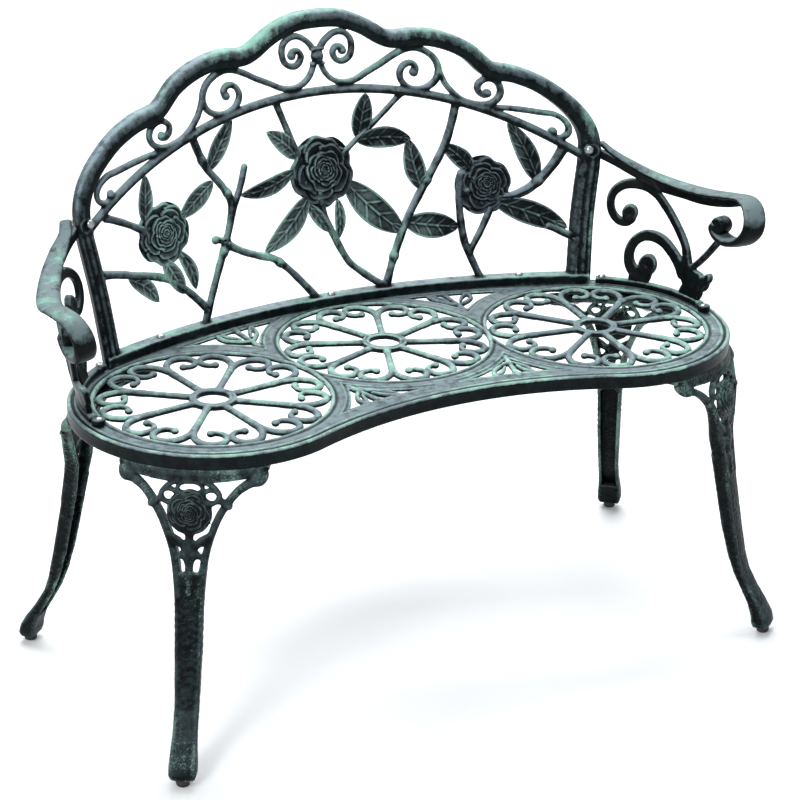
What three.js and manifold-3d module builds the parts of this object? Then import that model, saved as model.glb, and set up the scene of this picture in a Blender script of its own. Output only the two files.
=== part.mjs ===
// Garden bench of cast aluminium: a kidney-shaped seat with three pierced rosettes, a curved and
// leaning back with scrollwork over a rose panel, two scrolled arms and four splayed legs, all
// bolted together.
// Millimetres, +Z up, -Y to the front. The origin is on the ground under the middle of the bench.

import * as THREE from "three";
import { mergeVertices } from "three/addons/utils/BufferGeometryUtils.js";
import Module from "manifold-3d";

// ---------------------------------------------------------------- driving dimensions

const GAP = 0.3; // clearance between two pieces that touch
const ORIGIN_Y = 28.7; // from the line through the two side rosettes back to the middle of the bench's depth

const SEAT = {
  top: 418, // height of the seat
  plate: 7, // thickness of the flat band
  skirt: 21, // height of the turned-down edge
  wall: 6, // thickness of the skirt
  endX: 300, // side rosette centres, left and right of the middle
  endRadius: 191, // outline around a side rosette
  patternRadius: 606, // arc that the three rosette centres lie on
  frontY: -128, // middle of the concave front edge
  sideOpening: 155.5, // radius of a side rosette's opening
  middleOpening: 146.5, // radius of the middle rosette's opening
  hubOuter: 31.5,
  hubInner: 21.5,
  spoke: 10, // width of a spoke
  branch: 8.5, // width of a forked branch
  spokes: 8,
};
SEAT.patternY = -Math.sqrt(SEAT.patternRadius ** 2 - SEAT.endX ** 2);
SEAT.middleY = SEAT.patternY + SEAT.patternRadius;

const BACK = {
  radius: 911, // plan radius of the panel's middle surface at the seat
  centreY: -669,
  lean: 0.146, // backwards per unit of height
  splay: 0.00032, // sideways growth per unit of height
  foot: SEAT.top + GAP,
  railTop: 431, // top of the foot rail
  railHalf: 386, // half the foot rail's length
  rimHalfDepth: 11,
};

const ARM = {
  baseRadius: 175, // arc of the arm's foot around the side rosette centre
  footTop: 428,
  plate: 8, // thickness of the scroll plate
  strapWidth: 24,
  strapFrontWidth: 33,
  strapDepth: 7,
};

const LEG = {
  top: SEAT.top - SEAT.skirt - GAP,
  flange: 6, // thickness of the flange under the seat
  footBottom: 9.3,
  padRadius: 289, // from the side rosette centre out to a foot pad
  frontAngle: 33.3, // degrees from straight ahead
  backAngle: 41.8, // degrees from straight back
  boltReach: 165, // leg bolts, outwards and sideways from the rosette centre
  boltSpread: 55,
};

const M6 = { shank: 3, hole: 3.5, head: 6.2, hex: 5.8 };
const M8 = { shank: 4, hole: 4.4, hex: 7.5 };

// ---------------------------------------------------------------- materials

const castMetal = (tone) => new THREE.MeshStandardMaterial({ color: tone, roughness: 0.55, metalness: 0.6 });
const bolt = () => new THREE.MeshStandardMaterial({ color: 0xa9adb0, roughness: 0.35, metalness: 0.9 });
const padRubber = () => new THREE.MeshStandardMaterial({ color: 0x161817, roughness: 0.8, metalness: 0 });

// ---------------------------------------------------------------- solids

const wasm = await Module();
wasm.setup();

/** A closed three.js geometry as a solid. */
function toSolid(geometry) {
  const bare = new THREE.BufferGeometry();
  const source = geometry.index ? geometry.toNonIndexed() : geometry;
  bare.setAttribute("position", source.getAttribute("position"));
  const merged = mergeVertices(bare, 1e-4);
  const vertProperties = merged.attributes.position.array;
  const triVerts = new Uint32Array(merged.index.array);
  return new wasm.Manifold(new wasm.Mesh({ numProp: 3, vertProperties, triVerts }));
}

/** A solid as three.js geometry, with each point moved by place if it is given. */
function toGeometry(solid, place = null) {
  const mesh = solid.getMesh();
  const positions = new Float32Array(mesh.numVert * 3);
  for (let i = 0; i < mesh.numVert; i++) {
    const at = mesh.vertProperties.subarray(i * mesh.numProp, i * mesh.numProp + 3);
    positions.set(place ? place(at[0], at[1], at[2]) : at, i * 3);
  }
  return new THREE.BufferGeometry()
    .setAttribute("position", new THREE.BufferAttribute(positions, 3))
    .setIndex(new THREE.BufferAttribute(mesh.triVerts, 1));
}

const join = (solids) => solids.reduce((all, next) => all.add(next)).asOriginal();
const cut = (solid, tools) => tools.reduce((left, tool) => left.subtract(tool), solid);

/** A flat pattern shape made solid between two levels; bevel chamfers its edges. */
function slab(shape, low, high, bevel = 0, curveSegments = 12) {
  const geometry = new THREE.ExtrudeGeometry(shape, {
    depth: high - low - 2 * bevel,
    bevelEnabled: bevel > 0,
    bevelThickness: bevel,
    bevelSize: bevel,
    bevelOffset: -bevel,
    bevelSegments: 1,
    curveSegments,
  });
  return toSolid(geometry.translate(0, 0, low + bevel));
}

/** A bar of rectangular section that follows plane points, between two levels. */
function bar(points, width, steps, low, high) {
  const extrudePath = new THREE.CatmullRomCurve3(points.map(([u, v]) => new THREE.Vector3(u, v, high)));
  const section = new THREE.Shape([
    new THREE.Vector2(0, -width / 2),
    new THREE.Vector2(high - low, -width / 2),
    new THREE.Vector2(high - low, width / 2),
    new THREE.Vector2(0, width / 2),
  ]);
  return toSolid(new THREE.ExtrudeGeometry(section, { extrudePath, steps }));
}

/** The outline of a strip that follows plane points; width is a function of the way along, 0 to 1. */
function ribbon(points, width, steps) {
  const curve = new THREE.SplineCurve(points.map(([u, v]) => new THREE.Vector2(u, v)));
  const left = [];
  const right = [];
  for (let i = 0; i <= steps; i++) {
    const along = i / steps;
    const half = width(along) / 2;
    const at = curve.getPointAt(along);
    const side = curve.getTangentAt(along);
    side.set(-side.y * half, side.x * half);
    left.push(at.clone().add(side));
    right.unshift(at.clone().sub(side));
  }
  return new THREE.Shape([...right.reverse(), ...left.reverse()]);
}

/** A leaf's outline from its base to its tip; bow bends it to its left. */
function leafShape([baseU, baseV], [tipU, tipV], width, bow = 0) {
  const base = new THREE.Vector2(baseU, baseV);
  const length = new THREE.Vector2(tipU, tipV).sub(base);
  const side = new THREE.Vector2(-length.y, length.x).normalize();
  const at = (along, off) =>
    base
      .clone()
      .addScaledVector(length, along)
      .addScaledVector(side, off + bow * Math.sin(Math.PI * along));
  const halves = [0, 0.2, 0.5, 0.8].map((along) => [along, (width / 2) * leafWidth(along)]);
  const rightSide = halves.map(([along, half]) => at(along, -half));
  const leftSide = halves.map(([along, half]) => at(along, half)).reverse();
  return new THREE.Shape([...rightSide, at(1, 0), ...leftSide]);
}

/** Share of a leaf's full width at a place along it. */
const leafWidth = (along) => Math.max(0.16, Math.sin(Math.PI * along ** 0.8) ** 0.75);

/** A solid swept through closed rings of points, which all have the same number of points. */
function loft(rings) {
  const count = rings[0].length;
  const first = new THREE.Vector3().subVectors(rings[0][1], rings[0][0]);
  const normal = new THREE.Vector3();
  for (let i = 1; i < count - 1; i++) {
    const a = new THREE.Vector3().subVectors(rings[0][i], rings[0][0]);
    const b = new THREE.Vector3().subVectors(rings[0][i + 1], rings[0][0]);
    normal.add(a.cross(b));
  }
  const sweep = new THREE.Vector3().subVectors(rings[1][0], rings[0][0]);
  if (normal.dot(sweep) < 0) return loft([...rings].reverse());
  const u = first.normalize();
  const v = new THREE.Vector3().crossVectors(normal.normalize(), u);
  const contour = rings[0].map((point) => new THREE.Vector2(point.dot(u), point.dot(v)));
  const cap = THREE.ShapeUtils.triangulateShape(contour, []);
  const index = [];
  const last = (rings.length - 1) * count;
  for (const [a, b, c] of cap) index.push(a, c, b, last + a, last + b, last + c);
  for (let r = 0; r < rings.length - 1; r++) {
    for (let i = 0; i < count; i++) {
      const j = (i + 1) % count;
      const a = r * count + i;
      const b = r * count + j;
      index.push(a, b, b + count, a, b + count, a + count);
    }
  }
  const geometry = new THREE.BufferGeometry().setFromPoints(rings.flat()).setIndex(index);
  return toSolid(geometry);
}

/** An upright rod between two heights. */
function rod(x, y, low, high, radius, sides = 12) {
  const geometry = new THREE.CylinderGeometry(radius, radius, high - low, sides);
  return toSolid(geometry.rotateX(Math.PI / 2).translate(x, y, (low + high) / 2));
}

const radians = THREE.MathUtils.degToRad;
const polar = (radius, degrees, x = 0, y = 0) => [
  x + radius * Math.cos(radians(degrees)),
  y + radius * Math.sin(radians(degrees)),
];

// ---------------------------------------------------------------- seat

/** The kidney outline, moved inwards by inset. */
function seatOutline(inset = 0) {
  const { endX, endRadius, patternRadius, patternY, frontY } = SEAT;
  const frontRadius = (endX ** 2 + frontY ** 2 - endRadius ** 2) / (2 * (endRadius + frontY));
  const frontCentre = frontY - frontRadius;
  const backAngle = Math.atan2(-patternY, endX);
  const frontAngle = Math.atan2(-frontCentre, endX);
  const end = endRadius - inset;
  const shape = new THREE.Shape();
  shape.absarc(endX, 0, end, frontAngle - Math.PI, backAngle, false);
  shape.absarc(0, patternY, patternRadius + end, backAngle, Math.PI - backAngle, false);
  shape.absarc(-endX, 0, end, Math.PI - backAngle, 2 * Math.PI - frontAngle, false);
  shape.absarc(0, frontCentre, frontRadius + inset, Math.PI - frontAngle, frontAngle, true);
  return shape;
}

const ROSETTES = [-1, 0, 1].map((side) => {
  const turn = -side * THREE.MathUtils.radToDeg(Math.asin(SEAT.endX / SEAT.patternRadius));
  return {
    x: side * SEAT.endX,
    y: side === 0 ? SEAT.middleY : 0,
    radius: side === 0 ? SEAT.middleOpening : SEAT.sideOpening,
    phase: 22.5 + turn,
  };
});

/** A forked branch from a spoke: share of the opening's radius, and degrees off the spoke. */
const BRANCH = [
  [0.62, 0],
  [0.76, 1.5],
  [0.9, 6],
  [0.99, 12],
  [0.96, 18],
  [0.86, 20],
  [0.78, 15.5],
];

function rosette({ x, y, radius, phase }) {
  const top = SEAT.top - 1;
  const ring = new THREE.Shape();
  ring.absarc(x, y, SEAT.hubOuter, 0, 2 * Math.PI);
  const bore = new THREE.Path();
  bore.absarc(x, y, SEAT.hubInner, 0, 2 * Math.PI);
  ring.holes.push(bore);
  const pieces = [slab(ring, SEAT.top - 9, SEAT.top, 0, 8)];
  for (let i = 0; i < SEAT.spokes; i++) {
    const angle = phase + (i * 360) / SEAT.spokes;
    const line = [polar(SEAT.hubOuter - 4, angle, x, y), polar(radius * 0.72, angle, x, y)];
    pieces.push(bar(line, SEAT.spoke, 1, top - 7, top));
    for (const side of [-1, 1]) {
      const hook = BRANCH.map(([share, off]) => polar(radius * share, angle + side * off, x, y));
      pieces.push(bar(hook, SEAT.branch, 5, top - 7, top));
    }
  }
  return pieces;
}

/** The pierced triangles between two rosettes, one at the front and one at the back on each side. */
const SPANDRELS = {
  front: { corners: [[122, -44], [160, -114], [31, -91]], bulge: [6, -3, 7] },
  back: { corners: [[165, 137], [108, 218], [252, 186]], bulge: [7, -3, 7] },
};

function spandrelShape({ corners, bulge }, side) {
  const points = corners.map(([x, y]) => new THREE.Vector2(side * x, y));
  const middle = new THREE.Vector2();
  for (const point of points) middle.addScaledVector(point, 1 / 3);
  const shape = new THREE.Shape().moveTo(points[0].x, points[0].y);
  points.forEach((from, i) => {
    const to = points[(i + 1) % 3];
    const half = from.clone().lerp(to, 0.5);
    half.addScaledVector(middle.clone().sub(half).normalize(), 2 * bulge[i]);
    shape.quadraticCurveTo(half.x, half.y, to.x, to.y);
  });
  return shape;
}

/** A stem across a spandrel with a curl on each side of it. */
function spandrelOrnament({ corners }, side) {
  const [apex, one, two] = corners.map(([x, y]) => new THREE.Vector2(side * x, y));
  const foot = one.clone().lerp(two, 0.42);
  const beyond = foot.clone().addScaledVector(foot.clone().sub(apex).normalize(), 6);
  const levels = [SEAT.top - 7, SEAT.top - 1.5];
  const pieces = [bar([apex.toArray(), beyond.toArray()], 7, 1, ...levels)];
  for (const corner of [one, two]) {
    const start = apex.clone().lerp(foot, 0.35);
    const bend = start.clone().lerp(corner, 0.38);
    const end = foot.clone().lerp(corner, 0.3);
    pieces.push(bar([start.toArray(), bend.toArray(), end.toArray()], 6, 4, ...levels));
  }
  return pieces;
}

const legTurns = {
  front_left: -LEG.frontAngle,
  front_right: LEG.frontAngle,
  back_right: 180 - LEG.backAngle,
  back_left: LEG.backAngle - 180,
};
const legSide = (name) => (name.endsWith("left") ? -1 : 1);

/** Where a leg's two bolts stand, in the bench's plan. */
function legBoltPoints(name) {
  return [-1, 1].map((side) => {
    const at = new THREE.Vector2(side * LEG.boltSpread, -LEG.boltReach);
    at.rotateAround(new THREE.Vector2(), radians(legTurns[name]));
    return [at.x + legSide(name) * SEAT.endX, at.y];
  });
}

const RAIL_BOLT_X = [-290, 0, 290];
const railY = (x) => BACK.centreY + Math.sqrt(BACK.radius ** 2 - x ** 2);
const ARM_BOLTS = { rear: polar(174, 54), front: polar(173, -8) };

const seatHoles = [
  ...RAIL_BOLT_X.map((x) => [x, railY(x)]),
  ...Object.values(ARM_BOLTS).flatMap(([x, y]) => [
    [SEAT.endX + x, y],
    [-SEAT.endX - x, y],
  ]),
];

function seatCasting() {
  const plate = seatOutline(2);
  for (const { x, y, radius } of ROSETTES) {
    const opening = new THREE.Path();
    opening.absarc(x, y, radius, 0, 2 * Math.PI, true);
    plate.holes.push(opening);
  }
  const skirt = seatOutline();
  skirt.holes.push(seatOutline(SEAT.wall));
  const low = SEAT.top - SEAT.plate;
  const pieces = [slab(plate, low, SEAT.top, 0, 12), slab(skirt, SEAT.top - SEAT.skirt, SEAT.top - 3, 0, 10)];
  const windows = [];
  for (const spandrel of Object.values(SPANDRELS)) {
    for (const side of [-1, 1]) {
      windows.push(slab(spandrelShape(spandrel, side), low - 1, SEAT.top + 1, 0, 5));
    }
  }
  const bosses = [];
  const blindHoles = [];
  for (const name of Object.keys(legTurns)) {
    for (const [x, y] of legBoltPoints(name)) {
      bosses.push(rod(x, y, SEAT.top - SEAT.skirt, low + 1, 10, 10));
      blindHoles.push(rod(x, y, SEAT.top - SEAT.skirt - 1, low - 1, M8.hole, 8));
    }
  }
  const frame = join([cut(join(pieces), windows), ...bosses]);
  const ornaments = Object.values(SPANDRELS).flatMap((spandrel) =>
    [-1, 1].flatMap((side) => spandrelOrnament(spandrel, side)),
  );
  const whole = join([frame, ...ornaments, ...ROSETTES.flatMap(rosette)]);
  const boltHoles = seatHoles.map(([x, y]) => rod(x, y, low - 5, SEAT.top + 1, M6.hole, 8));
  return toGeometry(cut(whole, [...blindHoles, ...boltHoles]));
}

// ---------------------------------------------------------------- back

/** A point of the back: x and height as seen from the front, and depth in front of the middle surface. */
function backPoint(x, z, depth) {
  const up = z - SEAT.top;
  const footX = x / (1 + BACK.splay * up);
  return [x, BACK.centreY + Math.sqrt(BACK.radius ** 2 - footX ** 2) + BACK.lean * up - depth, z];
}

/** The way the back faces at a point. */
function backNormal(x, z) {
  const at = new THREE.Vector3(...backPoint(x, z, 0));
  const across = new THREE.Vector3(...backPoint(x + 1, z, 0)).sub(at);
  const up = new THREE.Vector3(...backPoint(x, z + 1, 0)).sub(at);
  return across.cross(up).normalize();
}

/** Right half of the five-lobed rim with its post, from the crown down: middle line as [x, z]. */
const RIM = [
  [0, 825],
  [38, 822],
  [72, 809],
  [102, 791],
  [122, 785.5],
  [155, 787],
  [194, 779],
  [230, 762],
  [256, 738],
  [272, 730],
  [300, 724],
  [336, 708],
  [370, 682],
  [392, 655],
  [401, 627],
  [399, 595],
  [392, 555],
  [384, 505],
  [374, 419],
];

/** Scrollwork over the arch, right half: middle lines as [x, z] with a width. */
const SCROLLS = [
  {
    width: 9,
    steps: 11,
    line: [
      [7, 778], [13, 794], [30, 803], [47, 799], [54, 784], [50, 769], [38, 763], [29, 769],
      [31, 780], [39, 779],
    ],
  },
  {
    width: 9,
    steps: 19,
    line: [
      [7, 766],
      [12, 748],
      [26, 735],
      [46, 732],
      [70, 739],
      [105, 757],
      [133, 770],
      [162, 769],
      [182, 757],
      [188, 738],
      [180, 722],
      [160, 712],
      [140, 716],
      [129, 730],
      [134, 746],
      [146, 749],
      [152, 740],
      [146, 734],
    ],
  },
  {
    width: 9.5,
    steps: 11,
    line: [
      [188, 731],
      [199, 714],
      [217, 696],
      [240, 684],
      [260, 683],
      [275, 692],
      [278, 706],
      [268, 719],
      [253, 718],
      [244, 708],
      [248, 698],
      [257, 699],
    ],
  },
  {
    width: 8.5,
    steps: 7,
    line: [
      [250, 680], [290, 676], [330, 669], [356, 664], [371, 653], [373, 641], [363, 632],
      [352, 634],
    ],
  },
];

/** Vines and stems of the rose panel: middle lines as [x, z] with a width. */
const VINES = [
  { width: 11, steps: 3, line: [[-360, 611], [-330, 596], [-300, 580]] },
  {
    width: 11.5,
    steps: 7,
    line: [
      [-208, 688], [-187, 639], [-166, 614], [-152, 590], [-156, 563], [-165, 535], [-181, 499],
      [-198, 460], [-213, 424],
    ],
  },
  { width: 10, steps: 2, line: [[-128, 632], [-138, 606], [-149, 580]] },
  { width: 11, steps: 2, line: [[-180, 540], [-164, 533], [-150, 526]] },
  {
    width: 11.5,
    steps: 4,
    line: [
      [-161, 528], [-124, 510], [-92, 498], [-66, 478], [-42, 450], [-20, 424],
    ],
  },
  { width: 11, steps: 2, line: [[-70, 716], [-56, 680], [-40, 640]] },
  { width: 11.5, steps: 5, line: [[-8, 580], [-4, 550], [12, 512], [30, 474], [60, 448], [90, 428]] },
  { width: 10, steps: 4, line: [[30, 628], [58, 651], [92, 677], [126, 706]] },
  {
    width: 12,
    steps: 7,
    line: [
      [210, 686], [194, 634], [174, 600], [152, 566], [128, 524], [106, 474], [86, 424],
    ],
  },
  { width: 12, steps: 5, line: [[212, 580], [207, 548], [208, 508], [216, 472], [228, 444], [238, 424]] },
  { width: 10.5, steps: 2, line: [[254, 530], [238, 500], [220, 470]] },
  { width: 15, steps: 5, line: [[362, 614], [348, 592], [326, 568], [300, 552], [270, 546]] },
  { width: 11, steps: 2, line: [[328, 508], [354, 494], [382, 480]] },
  {
    width: 12,
    steps: 6,
    line: [
      [-384, 536], [-340, 528], [-290, 514], [-262, 504], [-238, 480], [-206, 450],
    ],
  },
];

/** Leaves and buds: base and tip as [x, z], full width, bow to the left. */
const LEAVES = [
  { base: [-297, 590], tip: [-290, 655], width: 25, bow: 2 },
  { base: [-180, 622], tip: [-240, 582], width: 28, bow: -3 },
  { base: [-186, 640], tip: [-141, 706], width: 26, bow: 3 },
  { base: [-42, 636], tip: [-84, 675], width: 26, bow: -3 },
  { base: [-38, 620], tip: [-136, 592], width: 25, bow: 4 },
  { base: [-24, 580], tip: [-101, 506], width: 29, bow: 3 },
  { base: [-26, 570], tip: [4, 520], width: 18, bow: 0 },
  { base: [20, 570], tip: [19, 508], width: 19, bow: 0 },
  { base: [56, 650], tip: [75, 716], width: 30, bow: 3 },
  { base: [52, 648], tip: [140, 640], width: 30, bow: 5 },
  { base: [152, 566], tip: [134, 642], width: 28, bow: 4 },
  { base: [30, 594], tip: [122, 506], width: 38, bow: -4 },
  { base: [122, 520], tip: [210, 506], width: 36, bow: 0 },
  { base: [232, 586], tip: [186, 630], width: 26, bow: -3 },
  { base: [262, 542], tip: [362, 496], width: 34, bow: 3 },
  { base: [328, 566], tip: [288, 660], width: 30, bow: -2 },
  { base: [-330, 524], tip: [-284, 478], width: 22, bow: 5 },
  { base: [-274, 540], tip: [-240, 480], width: 24, bow: 0 },
  { base: [-250, 544], tip: [-220, 478], width: 18, bow: 4 },
];

/** Roses: centre as [x, z] and radius. */
const ROSES = [
  { at: [-268, 567], radius: 38 },
  { at: [-2, 609], radius: 46 },
  { at: [246, 565], radius: 38 },
];

const mirrored = (line) => line.map(([x, z]) => [-x, z]);

/** A rose as a stepped dome on the pattern plane. */
function roseSolid({ at: [x, z], radius }) {
  const profile = [
    [0, -4],
    [0.92, -4],
    [1, 2],
    [0.84, 7],
    [0.5, 12],
    [0, 13],
  ].map(([share, depth]) => new THREE.Vector2(share * radius, depth));
  const dome = new THREE.LatheGeometry(profile, 10).rotateX(Math.PI / 2);
  return toSolid(dome.translate(x, z, 0));
}

const ARM_BOLT = { x: 399, z: 612 };

/** A rod square to the back between two depths, with its middle at a point of the back. */
function backRod(x, z, low, high, radius, sides = 12) {
  const geometry = new THREE.CylinderGeometry(radius, radius, high - low, sides);
  geometry.translate(0, (low + high) / 2, 0);
  const turn = new THREE.Quaternion().setFromUnitVectors(new THREE.Vector3(0, 1, 0), backNormal(x, z));
  geometry.applyQuaternion(turn);
  return toSolid(geometry.translate(...backPoint(x, z, 0)));
}

/** The outline of the rim with both posts, made wider all round by extra. */
function rimShape(extra = 0) {
  const line = [...mirrored(RIM.slice(1)).reverse(), ...RIM];
  return ribbon(line, (along) => 25 + 4 * Math.abs(2 * along - 1) ** 3 + 2 * extra, 50);
}

function backCasting() {
  const deep = BACK.rimHalfDepth;
  const foot = new THREE.Shape([
    new THREE.Vector2(-450, BACK.foot - 20),
    new THREE.Vector2(450, BACK.foot - 20),
    new THREE.Vector2(450, BACK.foot),
    new THREE.Vector2(-450, BACK.foot),
  ]);
  const archRadius = 690;
  const archTop = 723.5;
  const arch = [-396, -350, -300, -240, -180, -120, -60, 0, 60, 120, 180, 240, 300, 350, 396].map((x) => [
    x,
    archTop - archRadius + Math.sqrt(archRadius ** 2 - x ** 2),
  ]);
  const pieces = [
    cut(slab(rimShape(), -deep, deep, 4), [slab(foot, -30, 30)]),
    bar(arch, 13, 16, -6.5, 6.5),
    rodOnPattern(0, 773, 9, 12),
  ];
  for (const { line, width, steps } of SCROLLS) {
    pieces.push(bar(line, width, steps, -5, 5), bar(mirrored(line), width, steps, -5, 5));
  }
  for (const { line, width, steps } of VINES) pieces.push(bar(line, width, steps, -5.5, 5.5));
  for (const { base, tip, width, bow } of LEAVES) pieces.push(slab(leafShape(base, tip, width, bow), -2, 3));
  pieces.push(...ROSES.map(roseSolid));
  const panel = toSolid(toGeometry(join(pieces), backPoint));
  const railLine = new THREE.Shape();
  const halfAngle = Math.asin(BACK.railHalf / BACK.radius);
  const right = Math.PI / 2 - halfAngle;
  const left = Math.PI / 2 + halfAngle;
  railLine.absarc(0, BACK.centreY, BACK.radius + deep, right, left, false);
  railLine.absarc(0, BACK.centreY, BACK.radius - deep, left, right, true);
  const rail = slab(railLine, BACK.foot, BACK.railTop, 0, 12);
  const holes = RAIL_BOLT_X.map((x) => rod(x, railY(x), BACK.foot - 1, BACK.railTop + 1, M6.hole, 8));
  for (const side of [-1, 1]) {
    holes.push(backRod(side * ARM_BOLT.x, ARM_BOLT.z, -deep - 5, deep + 5, M6.hole, 8));
  }
  return toGeometry(cut(panel.add(rail), holes));
}

/** A short round boss on the pattern plane. */
function rodOnPattern(x, z, radius, sides) {
  const shape = new THREE.Shape();
  shape.absarc(x, z, radius, 0, 2 * Math.PI);
  return slab(shape, -6, 8, 0, sides);
}

// ---------------------------------------------------------------- arms (the left one mirrors the right)

const smooth = THREE.MathUtils.smoothstep;

/** A point of the arm's leaning scroll plate: degrees round the rosette, height, depth to the outside. */
function armPoint(degrees, z, depth) {
  const lean = 0.22 + 0.09 * (1 - smooth(degrees, -10, 14));
  const [x, y] = polar(ARM.baseRadius + lean * (z - ARM.footTop) + depth, degrees, SEAT.endX);
  return [x, y, z];
}

/** Scale between degrees on the arm's pattern and millimetres. */
const ARM_SCALE = 3.6;

/** Scroll plate: middle lines as [degrees, height] with a width. */
const ARM_BARS = [
  {
    width: 13,
    steps: 11,
    line: [
      [33, 560], [38, 566], [43.5, 567], [48, 562], [51.5, 550], [52, 536], [50.5, 520], [46.5, 511],
      [42.5, 513], [42, 524],
    ],
  },
  { width: 11, steps: 5, line: [[37, 568], [30, 549], [24.5, 531], [19, 511], [14.5, 493], [12, 470]] },
  {
    width: 13.5,
    steps: 11,
    line: [
      [14, 455], [17, 467], [21, 480], [26, 491], [31, 496], [36, 493.5], [40.5, 483], [42, 468],
      [41.5, 452], [37, 441], [33, 444],
    ],
  },
  { width: 9.5, steps: 2, line: [[8, 466], [3, 487], [-3, 514]] },
  {
    width: 13,
    steps: 7,
    line: [[60, 610], [50, 594], [42, 582], [32, 572.5], [20, 567], [8, 566.5], [-2, 572.5], [-7, 578]],
  },
];

const ARM_PLATE = [
  [-3, 427],
  [11.5, 427],
  [14.5, 445],
  [18, 462],
  [14.5, 475],
  [9.5, 479],
  [8, 471],
  [3, 464],
  [-2.5, 463],
  [-4.5, 455],
];

/** Middle line of the strap in space, from the post forwards and round the front scroll. */
const STRAP = [
  [424, 193, 619],
  [433, 173, 608],
  [452, 150, 594],
  [473, 119, 582],
  [492, 80, 576],
  [509, 38, 575],
  [521, -2, 580],
  [523, -34, 585],
  [517, -60, 581],
  [510, -77, 566],
  [506, -78, 547],
  [503, -63, 529],
  [501, -36, 520],
  [500, -12, 523],
  [500, 1, 535],
  [500, -7, 547],
];

function strapWidth(along) {
  const flare = smooth(along, 0.05, 0.5);
  const taper = 1 - 0.25 * smooth(along, 0.75, 1);
  return (ARM.strapWidth + (ARM.strapFrontWidth - ARM.strapWidth) * flare) * taper;
}

function armStrap() {
  const curve = new THREE.CatmullRomCurve3(STRAP.map((point) => new THREE.Vector3(...point)));
  const steps = 26;
  const rings = [];
  for (let i = 0; i <= steps; i++) {
    const at = curve.getPointAt(i / steps);
    const along = curve.getTangentAt(i / steps);
    const out = new THREE.Vector3(at.x - SEAT.endX + 40, at.y + 10, 0).normalize();
    out.addScaledVector(along, -out.dot(along)).normalize();
    const up = new THREE.Vector3().crossVectors(along, out);
    const half = strapWidth(i / steps) / 2;
    const deep = ARM.strapDepth / 2;
    const corner = (across, high) =>
      at.clone().addScaledVector(out, across).addScaledVector(up, high);
    rings.push([
      corner(-half, deep - 2),
      corner(-half, -deep),
      corner(half, -deep),
      corner(half, deep - 2),
      corner(half - 3, deep),
      corner(3 - half, deep),
    ]);
  }
  return loft(rings);
}

function armCasting() {
  const half = ARM.plate / 2;
  const scaled = (line) => line.map(([degrees, z]) => [degrees * ARM_SCALE, z]);
  const pieces = ARM_BARS.map(({ line, width, steps }) => bar(scaled(line), width, steps, -half, half));
  pieces.push(slab(new THREE.Shape(scaled(ARM_PLATE).map(([u, v]) => new THREE.Vector2(u, v))), -half, half));
  const tab = new THREE.Shape();
  tab.absarc(34.5 * ARM_SCALE, 442, 12, 0, Math.PI);
  tab.lineTo(29 * ARM_SCALE, 427).lineTo(40 * ARM_SCALE, 427);
  pieces.push(slab(tab, -half, half, 0, 6));
  const balls = [
    [43.4, 525, 11.5, 5],
    [32, 453, 14.5, 5],
  ];
  for (const [degrees, z, radius, depth] of balls) {
    const ball = new THREE.Shape();
    ball.absarc(degrees * ARM_SCALE, z, radius, 0, 2 * Math.PI);
    pieces.push(slab(ball, -depth, depth, 0, 4));
  }
  const plate = toSolid(toGeometry(join(pieces), (u, z, depth) => armPoint(u / ARM_SCALE, z, depth)));
  const footShape = new THREE.Shape();
  footShape.absarc(SEAT.endX, 0, ARM.baseRadius + 5, radians(-5), radians(57), false);
  footShape.absarc(SEAT.endX, 0, ARM.baseRadius - 7, radians(57), radians(-5), true);
  const foot = slab(footShape, BACK.foot, ARM.footTop, 2, 5);
  const [lugX, lugY] = ARM_BOLTS.front;
  const lug = rod(SEAT.endX + lugX, lugY, BACK.foot, ARM.footTop - 3, 12);
  const rearTab = slab(
    new THREE.Shape([
      new THREE.Vector2(386, 600),
      new THREE.Vector2(436, 600),
      new THREE.Vector2(436, 618),
      new THREE.Vector2(414, 626),
      new THREE.Vector2(386, 626),
    ]),
    -BACK.rimHalfDepth - 8,
    -BACK.rimHalfDepth - 1,
  );
  const bridge = slab(
    new THREE.Shape([
      new THREE.Vector2(419, 600),
      new THREE.Vector2(436, 600),
      new THREE.Vector2(436, 618),
      new THREE.Vector2(419, 620),
    ]),
    -BACK.rimHalfDepth - 8,
    4,
  );
  const wrap = toSolid(toGeometry(rearTab.add(bridge), backPoint));
  const clearance = slab(rimShape(GAP), -BACK.rimHalfDepth - GAP, BACK.rimHalfDepth + GAP);
  const holes = [
    toSolid(toGeometry(clearance, backPoint)),
    backRod(ARM_BOLT.x, ARM_BOLT.z, -BACK.rimHalfDepth - 20, 0, M6.hole, 8),
  ];
  for (const [x, y] of Object.values(ARM_BOLTS)) {
    holes.push(rod(SEAT.endX + x, y, BACK.foot - 1, ARM.footTop + 1, M6.hole, 8));
  }
  return toGeometry(cut(join([plate, foot, lug, armStrap(), wrap]), holes));
}

// ---------------------------------------------------------------- legs (one casting, used four times)

/** Side profile: height, outer face and inner face as distances from the side rosette's axis, half width. */
const PROFILE = [
  [397, 190, 176, 92],
  [375, 198, 183, 70],
  [350, 205, 189, 45],
  [320, 208, 190, 33],
  [295, 210, 190, 26],
  [262, 217, 195, 20.5],
  [215, 227, 204, 18],
  [160, 238, 216, 17.2],
  [115, 248, 229, 16.2],
  [90, 256, 239, 15.6],
  [65, 271, 253, 15.8],
  [45, 285, 265, 16.8],
  [28, 295, 271, 18],
  [16, 298, 273, 18],
  [9.3, 296, 275, 15.5],
];

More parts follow.
